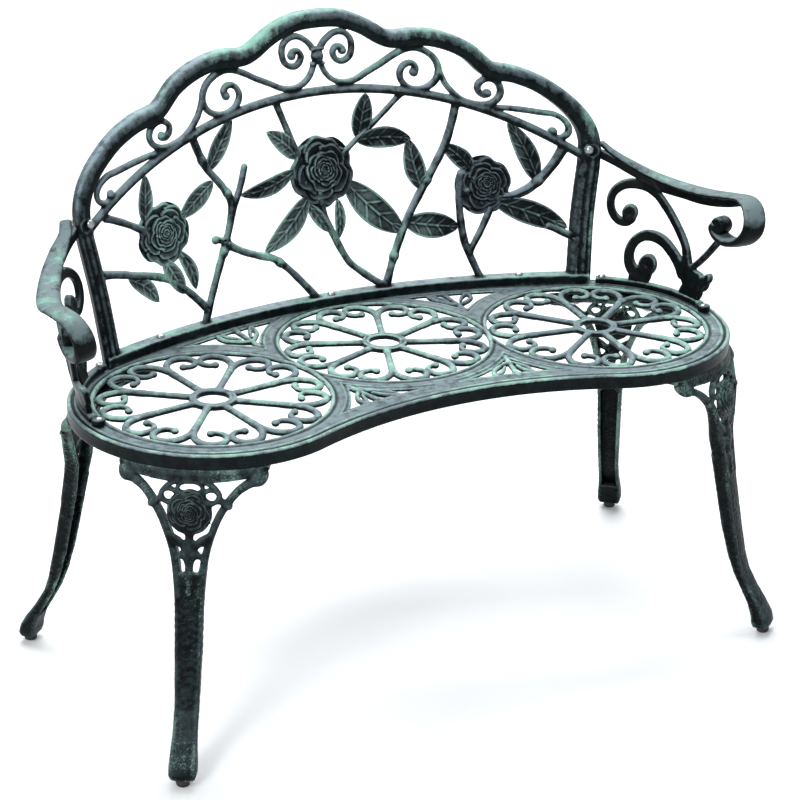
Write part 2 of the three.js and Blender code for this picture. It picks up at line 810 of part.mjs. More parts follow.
/** One column of the profile at a height, between its stated rows. */
function profileAt(z, column) {
  const row = PROFILE.findIndex(([height]) => height <= z);
  if (row <= 0) return PROFILE[row === 0 ? 0 : PROFILE.length - 1][column];
  const [above, below] = [PROFILE[row - 1], PROFILE[row]];
  return THREE.MathUtils.mapLinear(z, above[0], below[0], above[column], below[column]);
}

/** A point of the leg's face: sideways, height, depth outwards. Its top follows the seat's round end. */
function legPoint(across, z, depth) {
  const top = SEAT.endRadius - 1;
  const round = (top - Math.sqrt(top ** 2 - across ** 2)) * smooth(z, 315, 392);
  return [across, -(profileAt(z, 1) - round + depth), z];
}

/** The open channel of the leg below its pierced top. */
function legShaft() {
  const wall = 5;
  const rows = PROFILE.filter(([z]) => z <= 262);
  const rings = rows.map(([z, outer, inner, half]) => {
    const at = (across, reach) => new THREE.Vector3(across, -reach, z);
    return [
      at(-half, inner),
      at(-half + wall, inner),
      at(-half + wall, outer - wall),
      at(half - wall, outer - wall),
      at(half - wall, inner),
      at(half, inner),
      at(half, outer - 4),
      at(half - 5, outer),
      at(5 - half, outer),
      at(-half, outer - 4),
    ];
  });
  const toeRows = rows.filter(([z]) => z <= 45);
  const toe = toeRows.map(([z, outer, inner, half]) => [
    new THREE.Vector3(2 - half, -inner - 1, z),
    new THREE.Vector3(half - 2, -inner - 1, z),
    new THREE.Vector3(half - 2, 3 - outer, z),
    new THREE.Vector3(2 - half, 3 - outer, z),
  ]);
  return loft(rings).add(loft(toe));
}

function legCasting() {
  const pattern = [];
  const rail = [[86, 386], [74, 378], [57, 366], [43, 346], [33, 318], [24.5, 288], [17.5, 256]];
  const arch = [[44, 351], [42, 366], [28, 379], [10, 385], [0, 386]];
  const sling = [[45, 352], [34, 361], [24, 361]];
  for (const side of [-1, 1]) {
    const on = (line) => line.map(([across, z]) => [side * across, z]);
    pattern.push(bar(on(rail), 9, 6, -8, 0));
    pattern.push(bar(on(arch), 7, 5, -8, 0), bar(on(sling), 7, 2, -8, 0));
    pattern.push(bar(on([[14, 388], [15, 372], [19, 356]]), 7, 2, -8, 0));
    pattern.push(slab(leafShape([side * 2, 296], [side * 32, 322], 13), -8, 0));
    const lug = new THREE.Shape();
    lug.absarc(side * 84, 384, 9, 0, 2 * Math.PI);
    pattern.push(slab(lug, -8, 0, 0, 4));
  }
  pattern.push(bar([[-84, 391], [-42, 390], [0, 389.5], [42, 390], [84, 391]], 10, 10, -8, 0));
  pattern.push(bar([[0, 330], [0, 300], [0, 252]], 15, 2, -8, 0));
  pattern.push(bar([[-20, 262], [20, 262]], 10, 2, -8, 0));
  const rose = new THREE.LatheGeometry(
    [[0, -8], [28, -8], [29, 0], [22, 5], [0, 9]].map(([radius, depth]) => new THREE.Vector2(radius, depth)),
    10,
  ).rotateX(Math.PI / 2);
  pattern.push(toSolid(rose.translate(0, 344, 0)));
  const face = toSolid(toGeometry(join(pattern), legPoint));
  const outline = new THREE.Shape();
  const reach = radians(29);
  outline.absarc(0, 0, SEAT.endRadius - 1, -Math.PI / 2 - reach, -Math.PI / 2 + reach, false);
  outline.absarc(0, 0, 158, -Math.PI / 2 + reach, -Math.PI / 2 - reach, true);
  const flange = slab(outline, LEG.top - LEG.flange, LEG.top, 0, 6);
  const holes = [-1, 1].map((side) => {
    return rod(side * LEG.boltSpread, -LEG.boltReach, LEG.top - LEG.flange - 1, LEG.top + 1, M8.hole, 8);
  });
  holes.push(rod(0, -LEG.padRadius + 3, LEG.footBottom - 1, LEG.footBottom + 12, 3.3, 8));
  return toGeometry(cut(join([face, legShaft(), flange]), holes));
}

function footPad() {
  const steps = [[0, 0], [7.5, 0], [9, 2.5], [9, 9], [3, 9], [3, 20], [0, 20]];
  const profile = steps.map((step) => new THREE.Vector2(...step));
  return toGeometry(toSolid(new THREE.LatheGeometry(profile, 14).rotateX(Math.PI / 2)));
}

// ---------------------------------------------------------------- fasteners (z = 0 is under the head)

/** A screw with a domed head; its shank hangs below. */
function domeBolt(length) {
  const profile = [[0, -length], [M6.shank, -length], [M6.shank, 0], [M6.head, 0], [4.6, 2.8], [0, 4.2]];
  const points = profile.map((p) => new THREE.Vector2(...p));
  return toGeometry(toSolid(new THREE.LatheGeometry(points, 8).rotateX(Math.PI / 2)));
}

/** A hexagon bolt with its head down and its shank standing up. */
function hexBolt(length) {
  return toGeometry(rod(0, 0, -5.5, 0, M8.hex, 6).add(rod(0, 0, -1, length, M8.shank, 8)));
}

const ring = (outer, inner, height, sides) =>
  toGeometry(rod(0, 0, 0, height, outer, sides).subtract(rod(0, 0, -1, height + 1, inner, 8)));

// ---------------------------------------------------------------- assembly

const root = new THREE.Group();
const bench = new THREE.Group();
bench.position.y = -ORIGIN_Y;
root.add(bench);

/** Adds a mesh, in the bench or in a group of it, and returns it. */
function put(name, geometry, material, x = 0, y = 0, z = 0, parent = bench) {
  const mesh = new THREE.Mesh(geometry, material);
  mesh.name = name;
  mesh.position.set(x, y, z);
  parent.add(mesh);
  return mesh;
}

put("seat_casting", seatCasting(), castMetal(0x2c4a44));
put("back_casting", backCasting(), castMetal(0x24403c));

const arm = armCasting();
put("arm_right", arm, castMetal(0x2a4641));
put("arm_left", arm, castMetal(0x2a4641)).scale.x = -1;

const leg = legCasting();
const pad = footPad();
const legBolt = hexBolt(19);
for (const [name, turn] of Object.entries(legTurns)) {
  const corner = new THREE.Group();
  corner.position.x = legSide(name) * SEAT.endX;
  corner.rotation.z = radians(turn);
  bench.add(corner);
  put(`leg_${name}`, leg, castMetal(0x1d2f2b), 0, 0, 0, corner);
  put(`foot_pad_${name}`, pad, padRubber(), 0, -LEG.padRadius + 3, 0, corner);
  for (const side of [-1, 1]) {
    const which = side < 0 ? "a" : "b";
    const at = [side * LEG.boltSpread, -LEG.boltReach];
    put(`leg_bolt_${name}_${which}`, legBolt, bolt(), ...at, LEG.top - LEG.flange - GAP, corner);
  }
}

const nut = ring(M6.hex, M6.hole, 5, 6);
const seatUnder = SEAT.top - SEAT.plate - GAP;
const railScrew = domeBolt(27);
const armScrew = domeBolt(22);
RAIL_BOLT_X.forEach((x, i) => {
  const place = ["left", "middle", "right"][i];
  put(`back_screw_${place}`, railScrew, bolt(), x, railY(x), BACK.railTop + GAP);
  put(`back_nut_${place}`, nut, bolt(), x, railY(x), seatUnder - 5);
});
const postScrew = domeBolt(38);
for (const [side, word] of [[-1, "left"], [1, "right"]]) {
  for (const [place, [x, y]] of Object.entries(ARM_BOLTS)) {
    const head = (place === "front" ? ARM.footTop - 3 : ARM.footTop) + GAP;
    put(`arm_screw_${word}_${place}`, armScrew, bolt(), side * (SEAT.endX + x), y, head);
    put(`arm_nut_${word}_${place}`, nut, bolt(), side * (SEAT.endX + x), y, seatUnder - 5);
  }
  const normal = backNormal(side * ARM_BOLT.x, ARM_BOLT.z);
  const turn = new THREE.Quaternion().setFromUnitVectors(new THREE.Vector3(0, 0, 1), normal);
  const middle = new THREE.Vector3(...backPoint(side * ARM_BOLT.x, ARM_BOLT.z, 0));
  const along = (distance) => middle.clone().addScaledVector(normal, distance);
  const front = along(BACK.rimHalfDepth + 0.5);
  put(`post_screw_${word}`, postScrew, bolt(), ...front).quaternion.copy(turn);
  const rear = along(-BACK.rimHalfDepth - 13.5);
  put(`post_nut_${word}`, nut, bolt(), ...rear).quaternion.copy(turn);
}

export default root;
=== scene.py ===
"""Garden bench: fine castings, fasteners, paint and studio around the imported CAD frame.

Each casting is shaped as a solid on a flat pattern, in millimetres (u and v across it, w through it).
The solid is turned into one closed skin and bent onto the surface that the real piece follows.
"""

import math

import bpy
import numpy as np
from mathutils import Matrix, Vector


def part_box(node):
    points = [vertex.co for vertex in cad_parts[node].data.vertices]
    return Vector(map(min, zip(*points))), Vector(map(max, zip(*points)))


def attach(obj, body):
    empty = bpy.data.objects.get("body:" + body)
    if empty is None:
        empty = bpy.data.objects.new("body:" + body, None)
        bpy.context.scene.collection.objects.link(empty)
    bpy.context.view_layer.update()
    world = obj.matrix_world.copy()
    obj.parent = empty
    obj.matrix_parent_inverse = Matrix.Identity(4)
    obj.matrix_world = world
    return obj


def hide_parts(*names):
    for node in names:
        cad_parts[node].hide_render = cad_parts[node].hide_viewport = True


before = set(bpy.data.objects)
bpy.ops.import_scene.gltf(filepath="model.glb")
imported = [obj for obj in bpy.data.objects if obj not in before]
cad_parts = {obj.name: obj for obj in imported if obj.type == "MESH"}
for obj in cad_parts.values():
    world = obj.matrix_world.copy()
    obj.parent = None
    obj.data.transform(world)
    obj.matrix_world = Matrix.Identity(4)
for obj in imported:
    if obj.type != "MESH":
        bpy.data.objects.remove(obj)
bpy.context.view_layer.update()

ORIGIN_Y = 28.7  # from the line through the side rosettes, where y is 0 here, back to the CAD origin
SEAT_TOP = 418.0
END_X = 300.0  # side rosette centres
BACK_RADIUS, BACK_CENTRE_Y = 911.0, -669.0  # the back's middle surface, seen from above at the seat
BACK_LEAN, BACK_SPLAY = 0.146, 0.00032  # backwards and sideways growth per unit of height
BACK_BASE = 418.3  # the back stands on the seat's top face
POST_SCREW_X, POST_SCREW_Z = 399, 612
SEAT_END_RADIUS, SEAT_FRONT = 191.0, 128.0  # the kidney's round ends, and its reach in front of the rosettes
LEG_END_RADIUS = 190.0  # the leg's top follows the seat's round end
LEG_BOLT_RADIUS, LEG_BOLT_OFFSET = 165, 55  # from the side rosette, and to each side of the leg's middle
ARM_RADIUS, ARM_BASE = 175.0, 424.0  # the arm stands on an arc round the side rosette, on a raised foot
FAR = 60.0  # a field value well outside every solid
MARGIN = 7.0  # how far round a shape its part of the grid reaches


# ---- curves and solids on a pattern


def spline(points, spacing=2.0):
    """A smooth line through points, cut into even steps. Columns after the first two are carried along."""
    p = np.array(points, float)
    p = np.vstack([2 * p[0] - p[1], p, 2 * p[-1] - p[-2]])
    spans = []
    for a, b, c, d in zip(p, p[1:], p[2:], p[3:]):
        t = np.linspace(0, 1, max(4, int(np.linalg.norm((c - b)[:2]))), endpoint=False)[:, None]
        cubic = 3 * b - a - 3 * c + d
        square = 2 * a - 5 * b + 4 * c - d
        spans.append(b + 0.5 * ((c - a) * t + square * t**2 + cubic * t**3))
    q = np.vstack(spans + [p[-2:-1]])
    run = np.concatenate([[0], np.cumsum(np.linalg.norm(np.diff(q[:, :2], axis=0), axis=1))])
    even = np.linspace(0, run[-1], max(3, int(run[-1] / spacing) + 1))
    return np.stack([np.interp(even, run, column) for column in q.T], 1)


def on_side(side, line):
    """The line as drawn where side is 1, and mirrored where it is -1."""
    return [(side * p[0], *p[1:]) for p in line]


def smooth(x, low, high):
    t = np.clip((x - low) / (high - low), 0, 1)
    return t * t * (3 - 2 * t)


def along(value, t):
    """A number, or a list of (place, value) pairs read at t."""
    if isinstance(value, (int, float)):
        return np.full_like(t, value, dtype=np.float32)
    places, values = zip(*value)
    return np.interp(t, places, values).astype(np.float32)


def rounded(across, through, edge):
    """Distance to a rounded box from the distances to its two pairs of sides."""
    a, b = across + edge, through + edge
    return np.hypot(np.maximum(a, 0), np.maximum(b, 0)) + np.minimum(np.maximum(a, b), 0) - edge


class Pattern:
    """A solid on a grid over the pattern: negative inside, growing outwards, in millimetres."""

    def __init__(self, low, high, step):
        self.step = step
        self.low = np.array(low, float)
        counts = [int(math.ceil((b - a) / self.step)) + 1 for a, b in zip(low, high)]
        self.axes = [a + self.step * np.arange(n) for a, n in zip(self.low, counts)]
        self.field = np.full(counts, FAR, np.float32)

    def window(self, low, high):
        """Slices for the part of the grid between two corners, and its u, v and w ready to broadcast."""
        cut = []
        for axis, a, b in zip(self.axes, low, high):
            first = int(np.searchsorted(axis, a))
            cut.append(slice(first, max(first + 1, int(np.searchsorted(axis, b, side="right")))))
        u, v = (axis[c].astype(np.float32) for axis, c in zip(self.axes, cut))
        return tuple(cut), u[:, None, None], v[None, :, None], self.axes[2].astype(np.float32)[None, None, :]

    def merge(self, cut, shape, blend):
        old = self.field[cut]
        h = np.clip(0.5 + 0.5 * (old - shape) / blend, 0, 1)
        self.field[cut] = old * (1 - h) + shape * h - blend * h * (1 - h)

    def carve(self, cut, shape, blend=0.8):
        old = self.field[cut]
        h = np.clip(0.5 - 0.5 * (old + shape) / blend, 0, 1)
        self.field[cut] = old * (1 - h) - shape * h + blend * h * (1 - h)

    def near(self, line, reach):
        """Distance from each place of the pattern to a line, and how far along the line that is, 0 to 1."""
        low, high = line[:, :2].min(0) - reach, line[:, :2].max(0) + reach
        cut, u, v, w = self.window(low, high)
        u, v = u[:, 0, 0], v[0, :, 0]
        gap = np.full((len(u), len(v)), FAR, np.float32)
        place = np.zeros_like(gap)
        last = len(line) - 1
        for i in range(last):
            a, b = line[i, :2], line[i + 1, :2]
            i0, i1 = np.searchsorted(u, [min(a[0], b[0]) - reach, max(a[0], b[0]) + reach])
            j0, j1 = np.searchsorted(v, [min(a[1], b[1]) - reach, max(a[1], b[1]) + reach])
            pu, pv = u[i0:i1, None] - a[0], v[None, j0:j1] - a[1]
            ab = b - a
            h = np.clip((pu * ab[0] + pv * ab[1]) / max(float(ab @ ab), 1e-9), 0, 1)
            d = np.hypot(pu - h * ab[0], pv - h * ab[1])
            closer = d < gap[i0:i1, j0:j1]
            gap[i0:i1, j0:j1][closer] = d[closer]
            place[i0:i1, j0:j1][closer] = ((i + h) / last)[closer]
        return cut, w, gap[:, :, None], place[:, :, None]

    def bar(self, line, width, depth, centre=0.0, edge=None, blend=2.5, knots=0.0):
        """A bar along a line, oval where edge is None and else a rounded box; knots makes a stem of it."""
        path = spline(line)
        widest = max(v for _, v in width) if isinstance(width, list) else width
        cut, w, gap, place = self.near(path, widest / 2 + MARGIN)
        half, thick, middle = along(width, place) / 2, along(depth, place) / 2, along(centre, place)
        if knots:
            length = 2.0 * len(path)
            wave = np.sin(place * length / 5.1 + line[0][0]) + np.sin(place * length / 12.7 + line[0][1])
            half = half * (1 + knots * wave)
            thick = thick * (1 + knots * np.roll(wave, 3))
        if edge is None:
            shape = (np.hypot(gap / half, (w - middle) / thick) - 1) * np.minimum(half, thick)
        else:
            shape = rounded(gap - half, np.abs(w - middle) - thick, edge)
        self.merge(cut, shape, blend)

    def groove(self, line, radius, level):
        cut, w, gap, _ = self.near(spline(line), radius + MARGIN)
        self.carve(cut, np.hypot(gap, w - level) - radius)

    def ball(self, centre, radii, blend=2.0):
        centre, radii = np.array(centre, float), np.array(radii, float)
        cut, u, v, w = self.window((centre - radii - MARGIN)[:2], (centre + radii + MARGIN)[:2])
        shape = np.sqrt(sum(((x - c) / r) ** 2 for x, c, r in zip((u, v, w), centre, radii))) - 1
        self.merge(cut, shape * radii.min(), blend)

    def disc(self, centre, radius, thick, edge=1.6, blend=1.5, dimple=0.0):
        reach = radius + MARGIN
        cut, u, v, w = self.window(np.array(centre) - reach, np.array(centre) + reach)
        from_middle = np.hypot(u - centre[0], v - centre[1])
        sunk = dimple * np.exp(-((from_middle / 2.6) ** 2))
        self.merge(cut, rounded(from_middle - radius, np.abs(w) - thick + sunk, edge), blend)

    def skin(self):
        """The surface of the solid as points and four-sided faces that point outwards."""
        f = np.pad(self.field, 1, constant_values=FAR)
        inside = f < 0
        corners = [(i, j, k) for i in (0, 1) for j in (0, 1) for k in (0, 1)]
        shape = tuple(n - 1 for n in f.shape)
        count = np.zeros(shape, np.int8)
        for corner in corners:
            count += inside[tuple(slice(k, k + n) for k, n in zip(corner, shape))]
        cells = np.argwhere((count > 0) & (count < 8))
        number = np.full(shape, -1, np.int32)
        number[tuple(cells.T)] = np.arange(len(cells))
        total, hits = np.zeros((len(cells), 3)), np.zeros(len(cells))
        for axis in range(3):
            for c in corners:
                if c[axis]:
                    continue
                start = cells + c
                end = start.copy()
                end[:, axis] += 1
                a, b = f[tuple(start.T)], f[tuple(end.T)]
                crossed = (a < 0) != (b < 0)
                at = start[crossed].astype(float)
                at[:, axis] += a[crossed] / (a[crossed] - b[crossed])
                total[crossed] += at
                hits[crossed] += 1
        points = self.low + (total / hits[:, None] - 1) * self.step
        faces = []
        for axis in range(3):
            one, two = (axis + 1) % 3, (axis + 2) % 3
            size = [n - (x == axis) for x, n in enumerate(f.shape)]
            a = inside[tuple(slice(0, n) for n in size)]
            b = inside[tuple(slice(int(x == axis), n + int(x == axis)) for x, n in enumerate(size))]
            for flip in (False, True):
                at = np.argwhere((b & ~a) if flip else (a & ~b))
                ring = []
                for back_one, back_two in ((1, 1), (0, 1), (0, 0), (1, 0)):
                    cell = at.copy()
                    cell[:, one] -= back_one
                    cell[:, two] -= back_two
                    ring.append(number[tuple(cell.T)])
                faces.append(np.stack(ring[::-1] if flip else ring, 1))
        return points, np.vstack(faces)


def grid_shell(front, back):
    """A closed shell from two matching grids of points that share their outline."""
    rows, columns = front.shape[:2]
    points = np.vstack([front.reshape(-1, 3), back.reshape(-1, 3)])
    i, j = np.meshgrid(np.arange(rows - 1), np.arange(columns - 1), indexing="ij")
    a = (i * columns + j).ravel()
    quad = np.stack([a, a + 1, a + columns + 1, a + columns], 1)
    rim = list(range(columns))
    rim += [i * columns + columns - 1 for i in range(1, rows)]
    rim += [(rows - 1) * columns + j for j in range(columns - 2, -1, -1)]
    rim += [i * columns for i in range(rows - 2, 0, -1)]
    rim = np.array(rim)
    after = np.roll(rim, -1)
    n = rows * columns
    side = np.stack([after, rim, rim + n, after + n], 1)
    return points, np.vstack([quad, (quad + n)[:, ::-1], side])


# ---- surfaces that the patterns are bent onto


def metres(x, y, z):
    return np.stack([x, y - ORIGIN_Y, z], 1) / 1000


def flat(p):
    return metres(*p.T)


def back_surface(p):
    """u and v are x and height seen from the front, and w is depth in front of the panel's middle."""
    x, z, depth = p.T
    up = z - SEAT_TOP
    foot_x = x / (1 + BACK_SPLAY * up)
    y = BACK_CENTRE_Y + np.sqrt(BACK_RADIUS**2 - foot_x**2) + BACK_LEAN * up - depth
    return metres(x, y, z)


ARM_SCALE = 3.6  # pattern millimetres per degree around the side rosette


def arm_surface(side):
    def place(p):
        degrees, z, depth = p[:, 0] / ARM_SCALE, p[:, 1], p[:, 2]
        lean = 0.22 + 0.09 * (1 - smooth(degrees, -10, 14))
        r = ARM_RADIUS + lean * (z - ARM_BASE - 4) + depth
        turn = np.radians(degrees)
        return metres(side * (END_X + r * np.cos(turn)), r * np.sin(turn), z)

    return place


# height, outer face and inner face from the rosette's axis, half width
LEG_ROWS = np.array([
    (9.3, 296, 275, 15.5), (16, 298, 273, 18), (28, 295, 271, 18), (45, 285, 265, 16.8),
    (65, 271, 253, 15.8), (90, 256, 239, 15.6), (115, 248, 229, 16.2), (160, 238, 216, 17.2),
    (215, 227, 204, 18), (262, 217, 195, 20.5), (295, 210, 190, 26), (320, 208, 190, 33),
    (350, 205, 189, 45), (375, 198, 183, 70), (397, 190, 176, 92),
])


def leg_column(z, column):
    return np.interp(z, LEG_ROWS[:, 0], LEG_ROWS[:, column])


def leg_reach(across, z):
    """How far out the leg's face stands; its top follows the seat's round end."""
    sagitta = LEG_END_RADIUS - np.sqrt(LEG_END_RADIUS**2 - across**2)
    return leg_column(z, 1) - sagitta * smooth(z, 315, 392)


def leg_surface(side, degrees):
    def place(p):
        across, z, depth = p.T
        out = -(leg_reach(across, z) + depth)
        c, s = math.cos(math.radians(degrees)), math.sin(math.radians(degrees))
        return metres(side * END_X + across * c - out * s, across * s + out * c, z)

    return place


# ---- paint and metal


class Nodes:
    """A new material and the nodes that make it."""

    def __init__(self, name):
        self.material = bpy.data.materials.new(name)
        self.material.use_nodes = True
        self.tree = self.material.node_tree
        self.shader = next(n for n in self.tree.nodes if n.type == "BSDF_PRINCIPLED")
        self.at = self.add("TexCoord", {}, "Object")

    def put(self, socket, value):
        if isinstance(value, bpy.types.NodeSocket):
            self.tree.links.new(value, socket)
        else:
            socket.default_value = value

    def add(self, kind, inputs, output, **settings):
        """A new node with its settings made and its inputs set or linked; gives one of its outputs."""
        node = self.tree.nodes.new("ShaderNode" + kind)
        for name, value in settings.items():
            setattr(node, name, value)
        for name, value in inputs.items():
            self.put(node.inputs[name], value)
        return node.outputs[output]

    def noise(self, scale, detail=4.0, roughness=0.55, stretch=None):
        at = self.add("Mapping", {"Vector": self.at, "Scale": stretch}, "Vector") if stretch else self.at
        inputs = {"Scale": scale, "Detail": detail, "Roughness": roughness, "Vector": at}
        return self.add("TexNoise", inputs, "Fac")

    def cells(self, scale):
        return self.add("TexVoronoi", {"Scale": scale, "Vector": self.at}, "Distance")

    def math(self, kind, a, b=0.0, clamp=False):
        return self.add("Math", {0: a, 1: b}, 0, operation=kind, use_clamp=clamp)

    def span(self, value, low, high, to_low=0.0, to_high=1.0):
        limits = {"From Min": low, "From Max": high, "To Min": to_low, "To Max": to_high}
        return self.add("MapRange", {"Value": value, **limits}, "Result")

    def mix(self, factor, a, b):
        return self.add("Mix", {"Factor": factor, "A": a, "B": b}, "Result", data_type="RGBA")

    def attribute(self, name):
        return self.add("Attribute", {}, "Fac", attribute_name=name)

    def upwards(self):
        return self.add("SeparateXYZ", {0: self.add("NewGeometry", {}, "Normal")}, "Z")

    def bump(self, height, strength, distance, under=None):
        inputs = {"Strength": strength, "Distance": distance, "Height": height}
        if under is not None:
            inputs["Normal"] = under
        return self.add("Bump", inputs, "Normal")


def colour(r, g, b, share=1.0):
    return (share * r, share * g, share * b, 1.0)


def antique(part, dark, green, painted_sheen, patina, up_gain, ridge_gain, bias, rough, sheen_patches=0.1, grain=0.25,
            pebble=0.0, sides=1.0, start=0.12):
    """Near-black green cast paint: a painted blue-grey sheen on what faces up that stands for the reflection
    of the overhead light, verdigris in patches, edges paled by rubbed verdigris and by painted highlight, and
    painted shade in hollows.

    up_gain and ridge_gain bring verdigris to upward faces and to edges, and bias brings it everywhere.
    sheen_patches adds the painted sheen in broad patches and start holds it back, sides keeps the edges of
    upright faces dark as painted shade, and pebble roughens the paint as a sand casting is rough.
    """
    n = Nodes(part + "_antique_green")
    broad, fine, speck = n.noise(8, 5), n.noise(75, 6, 0.65), n.noise(430, 3, 0.6)
    streaks = n.noise(60, 4, 0.6, stretch=(1.0, 1.0, 0.22))
    ridge = n.attribute("ridge")
    proud, hollow = n.math("MAXIMUM", ridge, 0.0), n.span(ridge, -0.05, -0.5)
    up = n.math("MAXIMUM", n.upwards(), 0.0)
    # Painted shade: on upright faces the raised edges lose most of their paleness, painted highlight and
    # verdigris alike, so those sides stay dark.
    proud = n.math("MULTIPLY", proud, n.span(up, 0.0, 0.6, sides, 1.0))
    base = n.mix(n.span(fine, 0.42, 0.68), colour(*dark), colour(*green))
    # Painted sheen: upward faces and raised edges lighten towards a blue-grey that stands for the reflection
    # of the overhead light, mottled by noise and laid in broad patches.
    painted_sheen_mask = n.math("ADD", n.math("MULTIPLY", up, 0.85), n.math("MULTIPLY", proud, 0.75))
    painted_sheen_mask = n.math("ADD", painted_sheen_mask, n.span(broad, 0.45, 0.7, 0.0, sheen_patches))
    painted_sheen_mask = n.math("MULTIPLY", painted_sheen_mask, n.span(fine, 0.3, 0.6, 0.4, 1.2))
    base = n.mix(n.span(painted_sheen_mask, start, 0.9), base, colour(*painted_sheen))
    # Painted shade: hollows darken to a third of the dark paint colour.
    base = n.mix(hollow, base, colour(*dark, 0.3))
    amount = n.math("ADD", n.math("MULTIPLY", up, up_gain), n.math("MULTIPLY", proud, ridge_gain))
    amount = n.math("ADD", amount, bias)
    amount = n.math("MULTIPLY", amount, n.span(broad, 0.38, 0.64, 0.15, 1.7))
    amount = n.math("MULTIPLY", amount, n.span(streaks, 0.36, 0.64, 0.4, 1.6))
    amount = n.math("ADD", amount, n.span(speck, 0.3, 0.7, -0.12, 0.12))
    if pebble:
        tops = n.math("MULTIPLY", n.span(n.noise(400, 3), 0.46, 0.68), n.span(broad, 0.35, 0.65, 0.28, 0.42))
        amount = n.math("ADD", amount, tops)
    cover = n.math("MULTIPLY", n.span(amount, 0.34, 0.75), n.span(hollow, 0.0, 1.0, 1.0, 0.1))
    pale = n.mix(n.span(fine, 0.45, 0.7), colour(*patina), colour(*patina, 1.5))
    n.put(n.shader.inputs["Base Color"], n.mix(n.math("MULTIPLY", cover, 0.9), base, pale))
    gloss = n.math("ADD", n.span(fine, 0.3, 0.75, *rough), n.math("MULTIPLY", cover, 0.2))
    n.put(n.shader.inputs["Roughness"], n.math("MINIMUM", gloss, 0.9))
    n.shader.inputs["Metallic"].default_value = 0.0
    n.shader.inputs["Specular IOR Level"].default_value = 0.08
    low = n.bump(n.noise(55, 3), 0.12, 0.0012)
    if pebble:
        low = n.bump(n.cells(210), pebble, 0.0012, low)
    n.put(n.shader.inputs["Normal"], n.bump(n.noise(520, 4, 0.7), grain, 0.0006, low))
    return n.material


seat_paint = antique(
    "seat",
    dark=(0.0026, 0.0042, 0.0050), green=(0.0060, 0.0125, 0.0125),
    painted_sheen=(0.165, 0.220, 0.235), patina=(0.25, 0.40, 0.34),
    up_gain=0.19, ridge_gain=0.90, bias=0.0, sheen_patches=0.0, rough=(0.28, 0.44), sides=0.12, start=0.2,
)
back_paint = antique(
    "back",
    dark=(0.0030, 0.0052, 0.0060), green=(0.008, 0.016, 0.017),
    painted_sheen=(0.205, 0.265, 0.290), patina=(0.19, 0.36, 0.29),
    up_gain=0.33, ridge_gain=0.35, bias=0.10, sheen_patches=0.05, rough=(0.26, 0.42), sides=0.6, start=0.2,
)
rose_paint = antique(
    "rose",
    dark=(0.0026, 0.0042, 0.0050), green=(0.007, 0.013, 0.015),
    painted_sheen=(0.105, 0.142, 0.158), patina=(0.16, 0.27, 0.235),
    up_gain=0.25, ridge_gain=0.50, bias=0.04, sheen_patches=0.35, rough=(0.24, 0.38),
)
leaf_paint = antique(
    "leaf",
    dark=(0.0030, 0.0052, 0.0058), green=(0.012, 0.024, 0.025),
    painted_sheen=(0.150, 0.200, 0.205), patina=(0.19, 0.32, 0.275),
    up_gain=0.25, ridge_gain=0.50, bias=0.13, sheen_patches=0.75, rough=(0.24, 0.38),
)
arm_paint = antique(
    "arm",
    dark=(0.0017, 0.0026, 0.0030), green=(0.0036, 0.0066, 0.0070),
    painted_sheen=(0.125, 0.168, 0.175), patina=(0.17, 0.33, 0.265),
    up_gain=0.26, ridge_gain=0.25, bias=0.0, sheen_patches=0.0, rough=(0.30, 0.46), sides=0.45, start=0.32,
)
leg_paint = antique(
    "leg",
    dark=(0.0012, 0.0017, 0.0020), green=(0.0045, 0.0100, 0.0090),
    painted_sheen=(0.050, 0.074, 0.080), patina=(0.13, 0.22, 0.185),
    up_gain=0.25, ridge_gain=0.42, bias=0.05, sheen_patches=0.05, grain=0.8, rough=(0.32, 0.50), pebble=0.8,
)
leg_rose_paint = antique(
    "leg_rose",
    dark=(0.0022, 0.0036, 0.0040), green=(0.008, 0.017, 0.016),
    painted_sheen=(0.085, 0.125, 0.125), patina=(0.13, 0.27, 0.21),
    up_gain=0.22, ridge_gain=0.60, bias=0.10, sheen_patches=0.25, rough=(0.28, 0.44),
)


def bright_steel():
    n = Nodes("weathered_bright_steel")
    fine, broad = n.noise(700, 4), n.noise(160, 4)
    steel = n.mix(n.span(broad, 0.35, 0.7), colour(0.55, 0.57, 0.58), colour(0.34, 0.36, 0.36))
    n.put(n.shader.inputs["Base Color"], n.mix(n.span(fine, 0.55, 0.8), steel, colour(0.16, 0.17, 0.16)))
    n.put(n.shader.inputs["Roughness"], n.span(fine, 0.3, 0.7, 0.22, 0.42))
    n.shader.inputs["Metallic"].default_value = 0.95
    n.put(n.shader.inputs["Normal"], n.bump(fine, 0.12, 0.0004))
    return n.material


def dull_rubber():
    n = Nodes("dull_black_rubber")
    dust = n.noise(120, 5, 0.6)
    black, grey = colour(0.012, 0.013, 0.013), colour(0.05, 0.052, 0.05)
    n.put(n.shader.inputs["Base Color"], n.mix(n.span(dust, 0.4, 0.75), black, grey))
    n.put(n.shader.inputs["Roughness"], n.span(dust, 0.3, 0.7, 0.62, 0.85))
    n.put(n.shader.inputs["Normal"], n.bump(n.noise(600, 3), 0.25, 0.0004))
    return n.material


steel, rubber = bright_steel(), dull_rubber()


# ---- making the pieces


